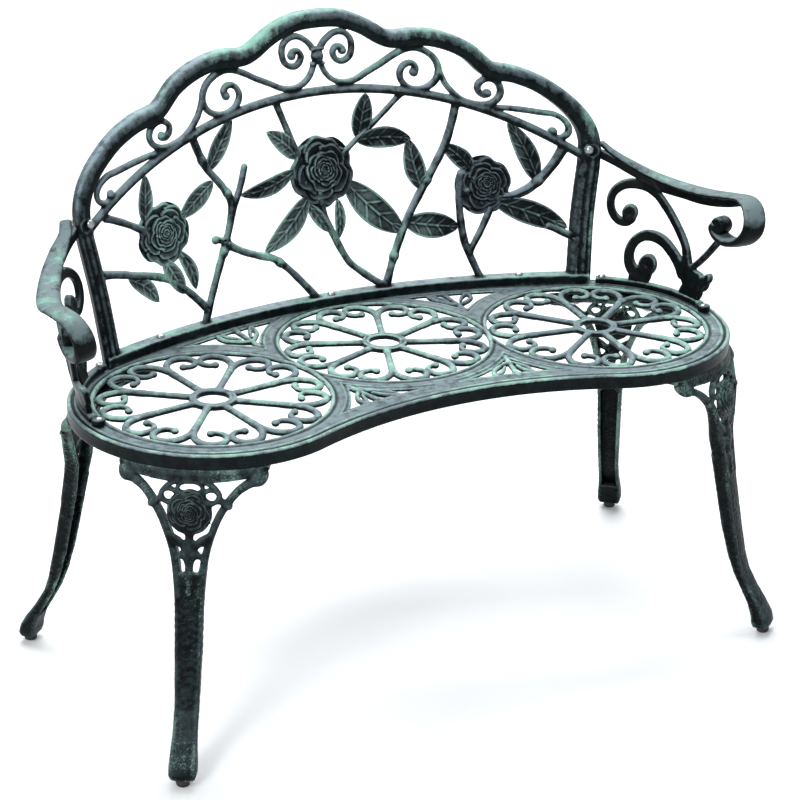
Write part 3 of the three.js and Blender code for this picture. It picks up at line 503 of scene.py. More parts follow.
def ridge_values(points, faces, step):
    """How far each point stands proud of its neighbours, about -1 to 1."""
    edges = np.vstack([faces[:, [i, (i + 1) % faces.shape[1]]] for i in range(faces.shape[1])])
    n = len(points)
    degree = np.maximum(np.bincount(edges[:, 0], minlength=n), 1)[:, None]

    def around(values):
        sums = [np.bincount(edges[:, 0], column[edges[:, 1]], minlength=n) for column in values.T]
        return np.stack(sums, 1) / degree

    across = np.cross(points[faces[:, 2]] - points[faces[:, 0]], points[faces[:, 3]] - points[faces[:, 1]])
    normal = np.zeros((n, 3))
    for corner in range(4):
        for k in range(3):
            normal[:, k] += np.bincount(faces[:, corner], across[:, k], minlength=n)
    normal /= np.maximum(np.linalg.norm(normal, axis=1), 1e-12)[:, None]
    proud = ((points - around(points)) * normal).sum(1)[:, None]
    for _ in range(5):
        proud = 0.4 * proud + 0.6 * around(proud)
    return np.clip(proud[:, 0] / (0.11 * step), -1, 1)


def inside_out(points, faces):
    """Whether the faces of a closed skin look into it."""
    a, b, c, d = (points[faces[:, i]] for i in range(4))
    return (np.cross(a, b) * c).sum() + (np.cross(a, c) * d).sum() <= 0


def finish(name, mesh, material, node):
    """Makes a mesh into a piece that stands in for a CAD node."""
    mesh.materials.append(material)
    piece = bpy.data.objects.new(name, mesh)
    bpy.context.scene.collection.objects.link(piece)
    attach(piece, "root")
    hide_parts(node)


NO_FANS = np.empty((0, 3), int)


def make(name, points, faces, place, material, node, slot_name, step=1.7, fans=NO_FANS):
    """A piece from four-sided faces, with three-sided ones in fans; step is how far apart its points are."""
    ridge = ridge_values(points, faces[:, ::-1] if inside_out(points, faces) else faces, step)
    at = place(points)
    if inside_out(at, faces):
        faces, fans = faces[:, ::-1], fans[:, ::-1]
    corners = np.concatenate([faces.ravel(), fans.ravel()])
    starts = np.concatenate([4 * np.arange(len(faces)), faces.size + 3 * np.arange(len(fans))])
    mesh = bpy.data.meshes.new(name)
    mesh.vertices.add(len(at))
    mesh.vertices.foreach_set("co", at.astype(np.float32).ravel())
    mesh.loops.add(len(corners))
    mesh.loops.foreach_set("vertex_index", corners.astype(np.int32))
    mesh.polygons.add(len(starts))
    mesh.polygons.foreach_set("loop_start", starts.astype(np.int32))
    mesh.polygons.foreach_set("use_smooth", np.ones(len(starts), bool))
    mesh.update(calc_edges=True)
    mesh.attributes.new("ridge", "FLOAT", "POINT").data.foreach_set("value", ridge.astype(np.float32))
    finish(name, mesh, material, node)


def turned_piece(name, profile, direction, material, node, slot_name, middle=None):
    """A turned piece along direction; its profile runs from middle, or from the CAD node's middle."""
    sides = 28
    if middle is None:
        middle = np.mean(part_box(node), axis=0)
    turn = Vector((0, 0, 1)).rotation_difference(Vector(direction)).to_matrix().to_4x4()
    points, faces = [], []
    for radius, z in profile:
        for k in range(sides):
            a = 2 * math.pi * k / sides
            points.append((radius * math.cos(a) / 1000, radius * math.sin(a) / 1000, z / 1000))
    for i in range(len(profile) - 1):
        for k in range(sides):
            j = (k + 1) % sides
            faces.append((i * sides + k, i * sides + j, (i + 1) * sides + j, (i + 1) * sides + k))
    faces.append(tuple(reversed(range(sides))))
    faces.append(tuple(range((len(profile) - 1) * sides, len(profile) * sides)))
    mesh = bpy.data.meshes.new(name)
    mesh.from_pydata(points, [], faces)
    mesh.transform(Matrix.Translation(Vector(middle)) @ turn)
    mesh.polygons.foreach_set("use_smooth", [len(f) == 4 for f in faces])
    mesh.attributes.new("ridge", "FLOAT", "POINT")
    finish(name, mesh, material, node)


# ---- seat

SPINE_Y, SPINE_R = -526.6, 606.0
ROSETTES = [
    (-END_X, 0.0, 155.5, 22.5 + 29.67),
    (0.0, SPINE_Y + SPINE_R, 146.5, 22.5),
    (END_X, 0.0, 155.5, 22.5 - 29.67),
]
# share of the opening's radius, degrees off the spoke, height of the middle
HOOK = [
    (0.60, 0, 413.6), (0.72, 0.6, 413.6), (0.83, 2.6, 413.6), (0.92, 6.8, 413.4), (0.962, 12, 413.2),
    (0.945, 17.2, 413.4), (0.88, 20.4, 413.8), (0.80, 20.6, 414.2), (0.745, 17.2, 414.4), (0.742, 12.2, 414),
]


def seat_outline(x, y):
    """Distance outside the kidney outline, negative inside it."""
    limit = math.asin(END_X / SPINE_R)
    bearing = np.clip(np.arctan2(x, y - SPINE_Y), -limit, limit)
    from_spine = np.hypot(x - SPINE_R * np.sin(bearing), y - SPINE_Y - SPINE_R * np.cos(bearing))
    chord = END_X**2 + SEAT_FRONT**2 - SEAT_END_RADIUS**2
    front_r = chord / (2 * (SEAT_END_RADIUS - SEAT_FRONT))
    front_y = -SEAT_FRONT - front_r
    ahead = np.abs(np.arctan2(x, y - front_y)) < math.atan2(END_X, -front_y)
    ahead &= np.hypot(x, y - SPINE_Y) < SPINE_R
    return np.where(ahead, front_r - np.hypot(x, y - front_y), from_spine - SEAT_END_RADIUS)


def line_relief(d, places, height=1.4, width=1.9):
    """Raised lines at these distances from an edge."""
    return height * sum(np.exp(-(((d - p) / width) ** 2)) for p in places)


LEG_TURNS = {"front_left": -33.3, "front_right": 33.3, "back_right": 138.2, "back_left": -138.2}


def shape_seat():
    """The plate with its raised lines, its skirt, the rosettes, the window curls and the legs' bosses."""
    seat = Pattern((-496, -226, 395), (496, 276, 421), 1.45)
    cut, x, y, z = seat.window((-500, -230), (500, 280))
    flat_x, flat_y = x[:, :, 0], y[:, :, 0]
    outline = seat_outline(flat_x, flat_y)
    rings = [np.hypot(flat_x - cx, flat_y - cy) - r for cx, cy, r, _ in ROSETTES]
    nearest = np.minimum(np.minimum(rings[0], rings[1]), rings[2])
    sides = np.minimum(rings[0], rings[2])
    rear = flat_y > 60
    side_border, outer_border = np.where(rear, 36.0, 27.0), np.where(rear, 45.0, 37.0)
    middle_border, half_bridge = 29, 17
    window = np.maximum(side_border - sides, middle_border - rings[1])
    window = np.maximum(window, outline + outer_border)
    window = np.where(np.abs(flat_x) < half_bridge, FAR, window)
    plate = np.maximum(np.maximum(outline, -nearest), -window)
    top = SEAT_TOP - 1.6 + line_relief(outline, (-3.0, -11.5)) - line_relief(outline, (-7.2,), 0.9)
    top = top + line_relief(nearest, (3.4,), 1.4) - line_relief(nearest, (7.6,), 1.0)
    top = top + line_relief(window, (7.0,), 1.1, 1.6) - line_relief(window, (3.6,), 1.2, 1.6)
    through = np.maximum(z - top[:, :, None], 411 - z)
    seat.field[:] = rounded(plate[:, :, None], through, 2.4)
    wall = np.maximum(outline, -outline - 6)[:, :, None]
    seat.merge(cut, rounded(wall, np.maximum(z - 416, 397 - z), 1.6), 1.5)
    for cx, cy, r, phase in ROSETTES:
        shape_rosette(seat, cx, cy, r, phase)
    for side in (-1, 1):
        shape_spandrels(seat, side)
    for name, turn in LEG_TURNS.items():
        side = -1 if name.endswith("left") else 1
        c, s = math.cos(math.radians(turn)), math.sin(math.radians(turn))
        for offset in (-LEG_BOLT_OFFSET, LEG_BOLT_OFFSET):  # the leg's bolts go up into these bosses
            bx, by = side * END_X + offset * c + LEG_BOLT_RADIUS * s, offset * s - LEG_BOLT_RADIUS * c
            cut, x, y, z = seat.window((bx - 16, by - 16), (bx + 16, by + 16))
            seat.merge(cut, rounded(np.hypot(x - bx, y - by) - 10, np.maximum(z - 413, 397 - z), 1.0), 2.0)
    return seat


def shape_rosette(seat, cx, cy, r, phase):
    """A hub ring with eight spokes, each of which parts into two curled hooks at the rim."""
    cut, x, y, z = seat.window((cx - 44, cy - 44), (cx + 44, cy + 44))
    hub_radius, hub_half = 26.5, 5.0
    ring = np.abs(np.hypot(x - cx, y - cy) - hub_radius) - hub_half
    top = SEAT_TOP - 0.6 - 0.9 * np.exp(-((ring + hub_half) ** 2) / 3.0)
    seat.merge(cut, rounded(ring, np.maximum(z - top, 409 - z), 2.2), 2.0)
    for k in range(8):
        bearing = phase + 45 * k

        def at(share, off, *more):
            angle = math.radians(bearing + off)
            return (cx + share * r * math.cos(angle), cy + share * r * math.sin(angle), *more)

        spoke = [at(29 / r, 0), at(0.45, 0), at(0.66, 0)]
        seat.bar(spoke, [(0, 11.5), (0.3, 9.5), (1, 10.5)], 8.6, 413.4, blend=3)
        for side in (-1, 1):
            hook = [at(share, side * off, level) for share, off, level in HOOK]
            widths = [(0, 9), (0.3, 10), (0.6, 10.5), (0.8, 9), (0.92, 7.6), (1, 7.2)]
            level = [(0, 413.4), (0.5, 413.0), (0.8, 413.8), (1, 414.2)]
            seat.bar(hook, widths, [(0, 8.6), (0.7, 8.6), (1, 7)], level, blend=1.4)
            seat.ball((*at(0.748, side * 11.6), 414.4), (5.6, 5.6, 4.6), blend=1.2)


def shape_spandrels(seat, side):
    """A stem and two curls in the front and the rear window on one side."""
    for corners in (((122, -44), (158, -113), (33, -92)), ((165, 138), (111, 217), (248, 187))):
        apex, one, two = np.array(on_side(side, corners), float)
        foot = one + 0.42 * (two - one)
        beyond = foot + 8 * (foot - apex) / np.linalg.norm(foot - apex)
        seat.bar([apex, 0.5 * (apex + foot), beyond], [(0, 9), (0.6, 7), (1, 10)], 7.6, 413.6)
        for corner in (one, two):
            start = apex + 0.30 * (foot - apex)
            bend = start + 0.36 * (corner - start) + 0.16 * (foot - start)
            far = foot + 0.42 * (corner - foot)
            turn = foot + 0.24 * (corner - foot) + 0.22 * (apex - foot)
            line = [start, bend, far, turn, start + 0.55 * (turn - start)]
            seat.bar(line, [(0, 6), (0.5, 7.5), (0.85, 6.4), (1, 4)], 7.6, 413.6, blend=1.4)


seat_points, seat_faces = shape_seat().skin()
make("seat_fine", seat_points, seat_faces, flat, seat_paint, "seat_casting", "seat_paint")

# ---- back

RIM = [
    (0, 825), (38, 822), (72, 809), (102, 791), (122, 785.5), (155, 787), (194, 779), (230, 762),
    (256, 738), (272, 730), (300, 724), (336, 708), (370, 682), (392, 655), (401, 627), (399, 595),
    (392, 555), (384, 505), (374, 415),
]
SCROLLS = [
    (
        [(7, 786), (15, 795), (29, 803), (43, 802), (53, 793), (55, 780), (51, 768), (40, 762),
         (30, 765), (25, 775), (30, 783), (38, 782), (40, 777)],
        [(0, 8.5), (0.75, 8.5), (0.9, 8.0), (1, 9.5)],
    ),
    (
        [(6, 760), (12, 748), (22, 738), (38, 732), (58, 734), (77, 743), (98, 752.5), (118, 763),
         (136, 770), (152, 771), (168, 765), (181, 754), (187, 738), (182, 723), (169, 714),
         (154, 711.5), (139, 716), (129, 727), (128, 739), (135, 748), (146, 750), (152, 743), (149, 736)],
        [(0, 7.5), (0.2, 8.5), (0.5, 9.5), (0.86, 8.5), (0.95, 8.5), (1, 10)],
    ),
    (
        [(189, 733), (196, 717), (208, 702), (223, 690), (242, 683.5), (259, 683), (272, 689.5), (278, 700),
         (275, 712), (265, 719), (254, 719), (245, 712), (245, 703), (252, 697), (258, 699)],
        [(0, 7.5), (0.35, 9.5), (0.8, 8.5), (0.93, 8.5), (1, 10)],
    ),
    (
        [(249, 679), (279, 677), (307, 673), (334, 668), (352, 665), (366, 657), (373, 646),
         (371, 636), (361, 630), (352, 633), (350, 640)],
        [(0, 6), (0.3, 8.5), (0.85, 8), (1, 9)],
    ),
]
VINES = [
    ([(-362, 611), (-330, 596), (-300, 579)], 10.5),
    ([(-209, 690), (-198, 661), (-187, 640), (-166, 614), (-153, 591), (-155, 566), (-165, 537), (-181, 500),
      (-198, 460), (-214, 420)], 11.5),
    ([(-127, 634), (-135, 610), (-147, 584), (-152, 572)], 10),
    ([(-180, 541), (-172, 538), (-163, 536)], 9),
    ([(-162, 530), (-140, 517), (-114, 506), (-89, 497), (-66, 478), (-42, 452), (-18, 424)], 11),
    ([(-70, 716), (-56, 680), (-40, 640)], 10),
    ([(-9, 580), (-3, 548), (12, 512), (31, 476), (50, 458), (72, 441), (92, 428)], 11),
    ([(34, 632), (58, 651), (92, 677), (126, 706)], 8.5),
    ([(211, 688), (203, 660), (192, 631), (174, 600), (154, 569), (128, 526), (104, 473), (86, 420)], 11.5),
    ([(214, 585), (209, 555), (209, 520), (214, 482), (225, 452), (238, 420)], 11),
    ([(256, 534), (240, 502), (221, 470)], 9.5),
    ([(362, 612), (350, 594), (334, 576), (312, 558), (288, 548), (266, 546)], 13),
    ([(336, 502), (354, 493), (382, 478)], 11),
    ([(-384, 540), (-350, 532), (-318, 522), (-284, 512), (-258, 499), (-233, 478), (-206, 450)], 11),
]
VINE_JOINTS = [
    (-196, 655), (-158, 603), (-170, 522), (104, 474), (160, 580), (-80, 490), (219, 560), (324, 568),
]


def shape_back():
    """The rim with its posts, the arch, the scrolls, the vines, the foot rail and the screws' seats."""
    back = Pattern((-428, 412, -15), (428, 844, 17), 1.7)
    rim = on_side(-1, RIM[1:])[::-1] + RIM
    path = spline(rim, 3.0)
    cut, w, gap, place = back.near(path, 22)
    half = 12.4 + 1.8 * np.abs(2 * place - 1) ** 3
    height = path[:, 1][np.clip((place * (len(path) - 1)).astype(int), 0, len(path) - 1)]
    post = smooth(-height, -640, -590)
    crown = 11 - 4.5 * (gap / half) ** 2
    flute = post * 1.9 * np.exp(-(((gap - 4.8) / 1.7) ** 2))
    back.merge(cut, rounded(gap - half, np.maximum(w - crown + flute, -10 - w), 3.0), 1.5)
    arch_top, arch_radius = 723.5, 695.5
    arch_x = np.linspace(-398, 398, 41)
    arch_z = arch_top - arch_radius + np.sqrt(arch_radius**2 - arch_x**2)
    back.bar(list(zip(arch_x, arch_z)), 13, 12.5, 0.5, blend=3)
    for line, widths in SCROLLS:
        for side in (1, -1):
            scroll = on_side(side, line)
            back.bar(scroll, widths, 9.5, 0, edge=2.6, blend=2.2)
            back.ball((*scroll[-1], 0), (6.2, 6.2, 6.2), blend=2.0)
    back.ball((0, 773, 1), (9.5, 10.5, 8), blend=2)
    for level in (763, 783):
        back.bar([(-9, level), (0, level + 1), (9, level)], 5, 12, 0.5, blend=1.2)
    for line, width in VINES:
        widths = [(0, width * 1.12), (0.15, width), (0.85, width), (1, width * 1.12)]
        back.bar(line, widths, width * 0.95, 0, knots=0.035)
        back.groove([(u + 1.6, v) for u, v in line], 1.1, width * 0.47)
    back.ball((-184, 541.5, 1.5), (6, 6, 6))
    for u, v in VINE_JOINTS:
        back.ball((u, v, 1), (6.5, 6.5, 6.2), blend=4)
    cut, u, v, w = back.window((-430, 410), (430, 440))
    rail = rounded(np.abs(u) - 386, np.maximum(v - 431, BACK_BASE - v), 1.4)
    upright = BACK_LEAN * (v - SEAT_TOP) - w  # the foot rail stands upright, without the panel's lean
    rail = np.maximum(rail, np.abs(upright) - 11)
    back.merge(cut, rail, 1.2)
    cut, _, v, _ = back.window((-430, 405), (430, 425))
    back.field[cut] = np.maximum(back.field[cut], BACK_BASE - v)
    for side in (-1, 1):
        at = side * POST_SCREW_X
        cut, u, v, w = back.window((at - 16, POST_SCREW_Z - 16), (at + 16, POST_SCREW_Z + 16))
        from_screw = np.hypot(u - at, v - POST_SCREW_Z)
        back.merge(cut, rounded(from_screw - 10.5, np.maximum(w - 10.8, -10 - w), 1.0), 1.5)
        back.carve(cut, np.maximum(from_screw - 7.2, 9.6 - w), 0.5)
    return back


back_points, back_faces = shape_back().skin()
make("back_frame_fine", back_points, back_faces, back_surface, back_paint, "back_casting", "back_paint")

LEAVES = [
    ((-297, 588), (-290, 652), 25, 2), ((-180, 622), (-238, 582), 28, -3), ((-186, 638), (-142, 703), 26, 3),
    ((-40, 634), (-86, 676), 26, -3), ((-46, 616), (-135, 594), 25, 4), ((-26, 576), (-101, 507), 29, 3),
    ((-28, 566), (3, 521), 17, 0), ((21, 566), (19, 509), 18, 0), ((58, 649), (75, 712), 31, 3),
    ((56, 647), (140, 641), 30, 5), ((153, 566), (136, 641), 28, 4), ((34, 590), (122, 506), 40, -4),
    ((124, 521), (206, 507), 37, 0), ((230, 587), (187, 630), 25, -3), ((262, 540), (364, 498), 34, 3),
    ((326, 567), (288, 655), 30, -2), ((-332, 520), (-285, 478), 21, 5), ((-272, 534), (-241, 478), 23, 0),
    ((-246, 540), (-221, 480), 18, 4),
]


def leaf(base, tip, width, bow, tilt):
    """A leaf as a thin shell with a midrib, side veins and a raised edge."""
    base, tip = np.array(base, float), np.array(tip, float)
    length = np.linalg.norm(tip - base)
    ahead = (tip - base) / length
    left = np.array((-ahead[1], ahead[0]))
    rows, columns = int(length / 0.95), int(width / 1.05) | 1
    t = np.linspace(0, 1, rows)[:, None]
    s = np.linspace(-1, 1, columns)[None, :]
    half = 0.54 * width * np.maximum(0.13, np.sin(np.pi * t**0.9) ** 0.62)
    half = half * (1 - smooth(t, 0.97, 1.0) * 0.75)
    middle = bow * np.sin(np.pi * t)
    at = base + ahead * (t[..., None] * length) + left * (middle + s * half)[..., None]
    fold = 2.2 * np.abs(s) * half / (width / 2)
    rise = 5 * np.sin(np.pi * t) + tilt * s * half / (width / 2)
    vein = (4.6 * t - 0.8 * np.abs(s) ** 0.8 - 0.1) % 1.0
    veins = 1.0 * np.exp(-(((vein - 0.5) / 0.07) ** 2)) * (1 - np.abs(s) ** 4) * smooth(t, 0.04, 0.12)
    midrib = 1.3 * np.exp(-((s * half / 1.3) ** 2))
    edge = 0.9 * smooth(np.abs(s), 0.84, 0.97)
    front = -1.0 + rise + fold + veins + midrib + edge - 1.4 * smooth(np.abs(s), 0.97, 1.0)
    behind = -4.4 + rise + fold + 1.4 * smooth(np.abs(s), 0.9, 1.0)
    top = np.concatenate([at, front[..., None]], 2)
    bottom = np.concatenate([at, behind[..., None]], 2)
    points, faces = grid_shell(top, bottom)
    return points, faces[:, ::-1]


for number, (base, tip, width, bow) in enumerate(LEAVES):
    points, faces = leaf(base, tip, width, bow, (2.5, -2.0, 1.5)[number % 3])
    name = f"leaf_{number + 1}"
    make(name, points, faces, back_surface, leaf_paint, "back_casting", "back_paint", step=0.9)

# ring radius as a share of the rose's, petals, height at its foot, rise to its rim, turn
WHORLS = [
    (1.00, 5, -1.5, 4.4, 0.3),
    (0.80, 5, 1.8, 4.4, 0.9),
    (0.58, 4, 5.0, 3.4, 0.1),
    (0.44, 4, 6.9, 2.8, 0.7),
    (0.33, 3, 8.3, 2.4, 0.2),
    (0.23, 3, 9.5, 2.1, 1.0),
    (0.13, 2, 10.4, 1.8, 0.5),
]


def rose(centre, radius, depth=1.0, turn=0.0):
    """A rose as a closed relief: whorls of overlapping cupped petals, each higher than the one outside it."""
    rows, columns = 58, 150
    share = np.linspace(0.0, 1.0, rows)[:, None]
    phi = np.linspace(0, 2 * np.pi, columns + 1)[None, :-1]
    lobes = 1 - 0.09 * np.abs(np.cos(2.5 * (phi - 0.3 - turn))) ** 8 - 0.02 * np.sin(2 * phi + turn)
    r = share * np.ones_like(phi)
    height = np.full(r.shape, -3.0)
    for ring, petals, foot, rise, start in WHORLS:
        for k in range(petals):
            middle = start + turn + 2 * np.pi * k / petals + 0.25 * math.sin(2.3 * k + 7 * ring)
            half = 1.28 * np.pi / petals
            off = (phi - middle + np.pi) % (2 * np.pi) - np.pi
            reach = ring * (1 - 0.17 * (off / half) ** 2 + 0.03 * np.cos(5 * off + k))
            inward = r / np.maximum(reach, 1e-3)
            cup = foot + rise * np.clip(inward, 0, 1) ** 3 - 1.0 * smooth(inward, 0.93, 1.0)
            cup = cup + 0.9 * off / half + 0.35 * np.cos(9 * off + 3 * k) * smooth(inward, 0.5, 1.0)
            within = (inward <= 1) & (np.abs(off) < half)
            height = np.where(within & (cup > height), cup, height)
    twist = (r / 0.16 * 1.6 - (phi + turn) / (2 * np.pi)) % 1.0
    height = height + np.where(r < 0.15, 1.1 * twist, 0)
    rim = smooth(r, 0.955, 1.0)
    height = height * (1 - rim) + (-2.0) * rim
    u = centre[0] + radius * r * lobes * np.cos(phi)
    v = centre[1] + radius * (r * lobes * np.sin(phi) + 0.13 * (1 - r))
    front = np.stack([u, v, depth * height], 2)
    behind = np.stack([u, v, depth * (-6.5 + 3.5 * r**4)], 2)
    n = rows * columns
    points = np.vstack([front.reshape(-1, 3), behind.reshape(-1, 3)])
    i, j = np.meshgrid(np.arange(rows - 1), np.arange(columns), indexing="ij")
    a, b = (i * columns + j).ravel(), (i * columns + (j + 1) % columns).ravel()
    quad = np.stack([a, a + columns, b + columns, b], 1)
    edge = (rows - 1) * columns + np.arange(columns)
    after = np.roll(edge, -1)
    side = np.stack([edge, edge + n, after + n, after], 1)
    faces = np.vstack([quad, (quad + n)[:, ::-1], side])
    keep = np.arange(len(points))
    keep[:columns], keep[n : n + columns] = 0, n  # the innermost ring of each side becomes one point
    used, packed = np.unique(keep, return_inverse=True)
    faces = packed[faces]
    whole = np.array([len(set(f)) == 4 for f in faces])
    fans = np.array([list(dict.fromkeys(f)) for f in faces[~whole]])
    return points[used], faces[whole], fans


ROSES = [((-268, 567), 44, 0.2), ((-2, 609), 52, 1.1), ((246, 565), 43, 2.0)]

for number, (centre, radius, turn) in enumerate(ROSES):
    points, faces, fans = rose(centre, radius, turn=turn)
    name = f"rose_{number + 1}"
    make(name, points, faces, back_surface, rose_paint, "back_casting", "back_paint", step=0.9, fans=fans)

# ---- arms


def arm_line(points):
    """Points given as (degrees round the side rosette, height), placed on the arm's pattern."""
    return [(degrees * ARM_SCALE, z) for degrees, z in points]


ARM_BARS = [
    (
        [(33, 560), (38, 566), (43.5, 567), (47.7, 563), (51.2, 552), (52.2, 537), (51, 522),
         (48, 512), (44.5, 511), (42.5, 516)],
        [(0, 14), (0.3, 14), (0.7, 12.5), (0.85, 12), (1, 14)],
    ),
    (
        [(36, 568), (30, 549), (24.5, 531), (18.9, 511), (14.4, 493), (11.5, 472)],
        [(0, 18), (0.15, 11.5), (0.8, 11), (1, 15)],
    ),
    (
        [(13, 455), (16.5, 468), (20.5, 479), (25.9, 491), (31.1, 496), (35.6, 494.5), (39.4, 486),
         (41.6, 472), (41.6, 456), (39.5, 444), (36, 438)],
        [(0, 18), (0.2, 15.5), (0.6, 15.5), (1, 19)],
    ),
    ([(9, 464), (5.5, 475), (1.5, 492), (-2.5, 514)], 10),
    (
        [(62, 613), (52, 598), (43, 584), (33, 573), (20, 566.5), (8.6, 566), (-1, 571), (-8, 579)],
        [(0, 12), (0.3, 14), (0.48, 20), (0.62, 15), (0.85, 14), (1, 12)],
    ),
]


def shape_arm():
    """The flat scrolls between the strap and the foot, with a round end at each curl."""
    arm = Pattern((-16 * ARM_SCALE, 416, -12), (64 * ARM_SCALE, 622, 12), 1.4)
    for line, width in ARM_BARS:
        arm.bar(arm_line(line), width, 8.2, 0, edge=1.7, blend=2)
    arm.disc((43.4 * ARM_SCALE, 524.5), 12.5, 4.6, dimple=1.0)
    arm.disc((32.2 * ARM_SCALE, 453), 16, 4.6, dimple=1.4)
    arm.bar(arm_line([(3.5, 446), (8, 452), (12, 464)]), [(0, 38), (1, 24)], 8.2, 0, edge=1.7, blend=2)
    for degrees, z, radius in ((-1.6, 452, 12), (-3.6, 461, 8), (12.4, 475, 8)):
        arm.disc((degrees * ARM_SCALE, z), radius, 4.1)
    arm.bar(arm_line([(2, 436), (8, 430)]), 30, 8.2, 0, edge=1.7, blend=2)
    arm.bar(arm_line([(34, 438), (36.5, 430)]), 32, 8.2, 0, edge=1.7, blend=2)
    cut, _, v, _ = arm.window((-16 * ARM_SCALE, 416), (64 * ARM_SCALE, 432))
    arm.field[cut] = np.maximum(arm.field[cut], ARM_BASE - v)
    return arm


def sweep(line, section):
    """A closed tube: section(place) gives matching (across, down) pairs, carried along a line in space."""
    p = np.array(line, float)
    run = np.concatenate([[0], np.cumsum(np.linalg.norm(np.diff(p, axis=0), axis=1))])
    q = spline(np.column_stack([run, np.zeros(len(p)), p]), 2.5)[:, 2:]
    ahead = np.gradient(q, axis=0)
    ahead /= np.linalg.norm(ahead, axis=1)[:, None]
    out = np.column_stack([q[:, 0] - END_X + 40, q[:, 1] + 10, np.zeros(len(q))])
    out -= (out * ahead).sum(1)[:, None] * ahead
    out /= np.linalg.norm(out, axis=1)[:, None]
    up = np.cross(ahead, out)
    rings = []
    for i, place in enumerate(np.linspace(0, 1, len(q))):
        pairs = np.array(section(place))
        rings.append(q[i] + pairs[:, :1] * out[i] - pairs[:, 1:] * up[i])
    count = len(rings[0])
    points = np.vstack(rings + [rings[0].mean(0)[None], rings[-1].mean(0)[None]])
    faces = []
    for r in range(len(rings) - 1):
        for i in range(count):
            j = (i + 1) % count
            faces.append((r * count + i, r * count + j, (r + 1) * count + j, (r + 1) * count + i))
    first, last = len(points) - 2, len(points) - 1
    for i in range(0, count, 2):
        j, k = (i + 1) % count, (i + 2) % count
        end = (len(rings) - 1) * count
        faces += [(first, k, j, i), (last, end + i, end + j, end + k)]
    return points, np.array(faces)


STRAP = [
    (424, 193, 619), (433, 173, 608), (452, 150, 594), (473, 119, 582), (492, 80, 576), (509, 38, 575),
    (521, -2, 580), (523, -34, 585), (517, -60, 581), (510, -77, 566), (506, -78, 547), (503, -63, 529),
    (501, -36, 520), (500, -12, 523), (500, 1, 535), (500, -7, 547),
]


def soft_square(count):
    """Points round a square with soft corners, from -1 to 1 each way."""
    for a in np.linspace(0, 2 * np.pi, count, endpoint=False):
        c, s = math.cos(a), math.sin(a)
        yield math.copysign(abs(c) ** 0.5, c), math.copysign(abs(s) ** 0.6, s)


def strap_section(place):
    """A crowned flat bar that thickens round the roll at the front."""
    roll = float(smooth(place, 0.66, 0.86))
    flare = float(smooth(place, 0.05, 0.5)) * (1 - 0.5 * float(smooth(place, 0.8, 0.95)))
    half = 8.0 + 4.0 * float(smooth(place, 0.0, 0.14)) + 4.4 * flare
    thick = 7.5 + 5 * roll
    return [(half * c, thick / 2 * (1 - s) + 1.3 * c**2 * (s > 0) - 3.5) for c, s in soft_square(32)]


def foot_section(place):
    """A low bar with a rounded top, the same at every place."""
    return [(5.8 * c, 4.85 - 4.85 * s) for c, s in soft_square(24)]


def right_half(side):
    """Places what is drawn on the right half of the bench on either side of it."""

    def place(p):
        return metres(side * p[:, 0], p[:, 1], p[:, 2])

    return place


def round_end(radius, degrees, height):
    """A point on an arc round the side rosette."""
    turn = math.radians(degrees)
    return (END_X + radius * math.cos(turn), radius * math.sin(turn), height)


FOOT_LINE = [round_end(174, degrees, 428) for degrees in np.linspace(57, -4, 25)]
KNOB = [
    (0.05, -12), (7.5, -12.5), (11.2, -11.5), (13, -8), (13.4, 0), (13, 8), (11.2, 11.5), (7.5, 12.5),
    (3.0, 10.6), (0.05, 11.2),
]
KNOB_AT = np.array([(500.5, -12.5, 541.5)])
LUG = [(8.4, 0), (9.0, 0.7), (9.0, 7.6), (8.0, 8.8), (0.05, 9.0)]
LUG_AT = np.array([round_end(173, -8, 418.5)])

arm_points, arm_faces = shape_arm().skin()
for side, word in ((-1, "left"), (1, "right")):
    place = right_half(side)
    shared = arm_paint, f"arm_{word}", "arm_paint"
    make(f"arm_scrolls_{word}", arm_points, arm_faces, arm_surface(side), *shared, step=1.4)
    make(f"arm_strap_{word}", *sweep(STRAP, strap_section), place, *shared, step=2.5)
    outwards = (side * 0.97, 0.24, 0)
    turned_piece(f"arm_knob_{word}", KNOB, outwards, *shared, place(KNOB_AT)[0])
    make(f"arm_foot_{word}", *sweep(FOOT_LINE, foot_section), place, *shared, step=2.5)
    turned_piece(f"arm_lug_{word}", LUG, (0, 0, 1), *shared, place(LUG_AT)[0])

# ---- legs


def ellipse(u, v, across, up):
    """A closed oval line, ending where it begins."""
    return [(u + across * math.cos(a), v + up * math.sin(a)) for a in np.linspace(0, 2 * np.pi, 17)]


LEG_RAIL = [
    (86, 385), (75, 379), (60, 370), (48, 357), (38, 341), (30.5, 323), (24, 303), (19, 282),
    (15.5, 258), (13, 236),
]


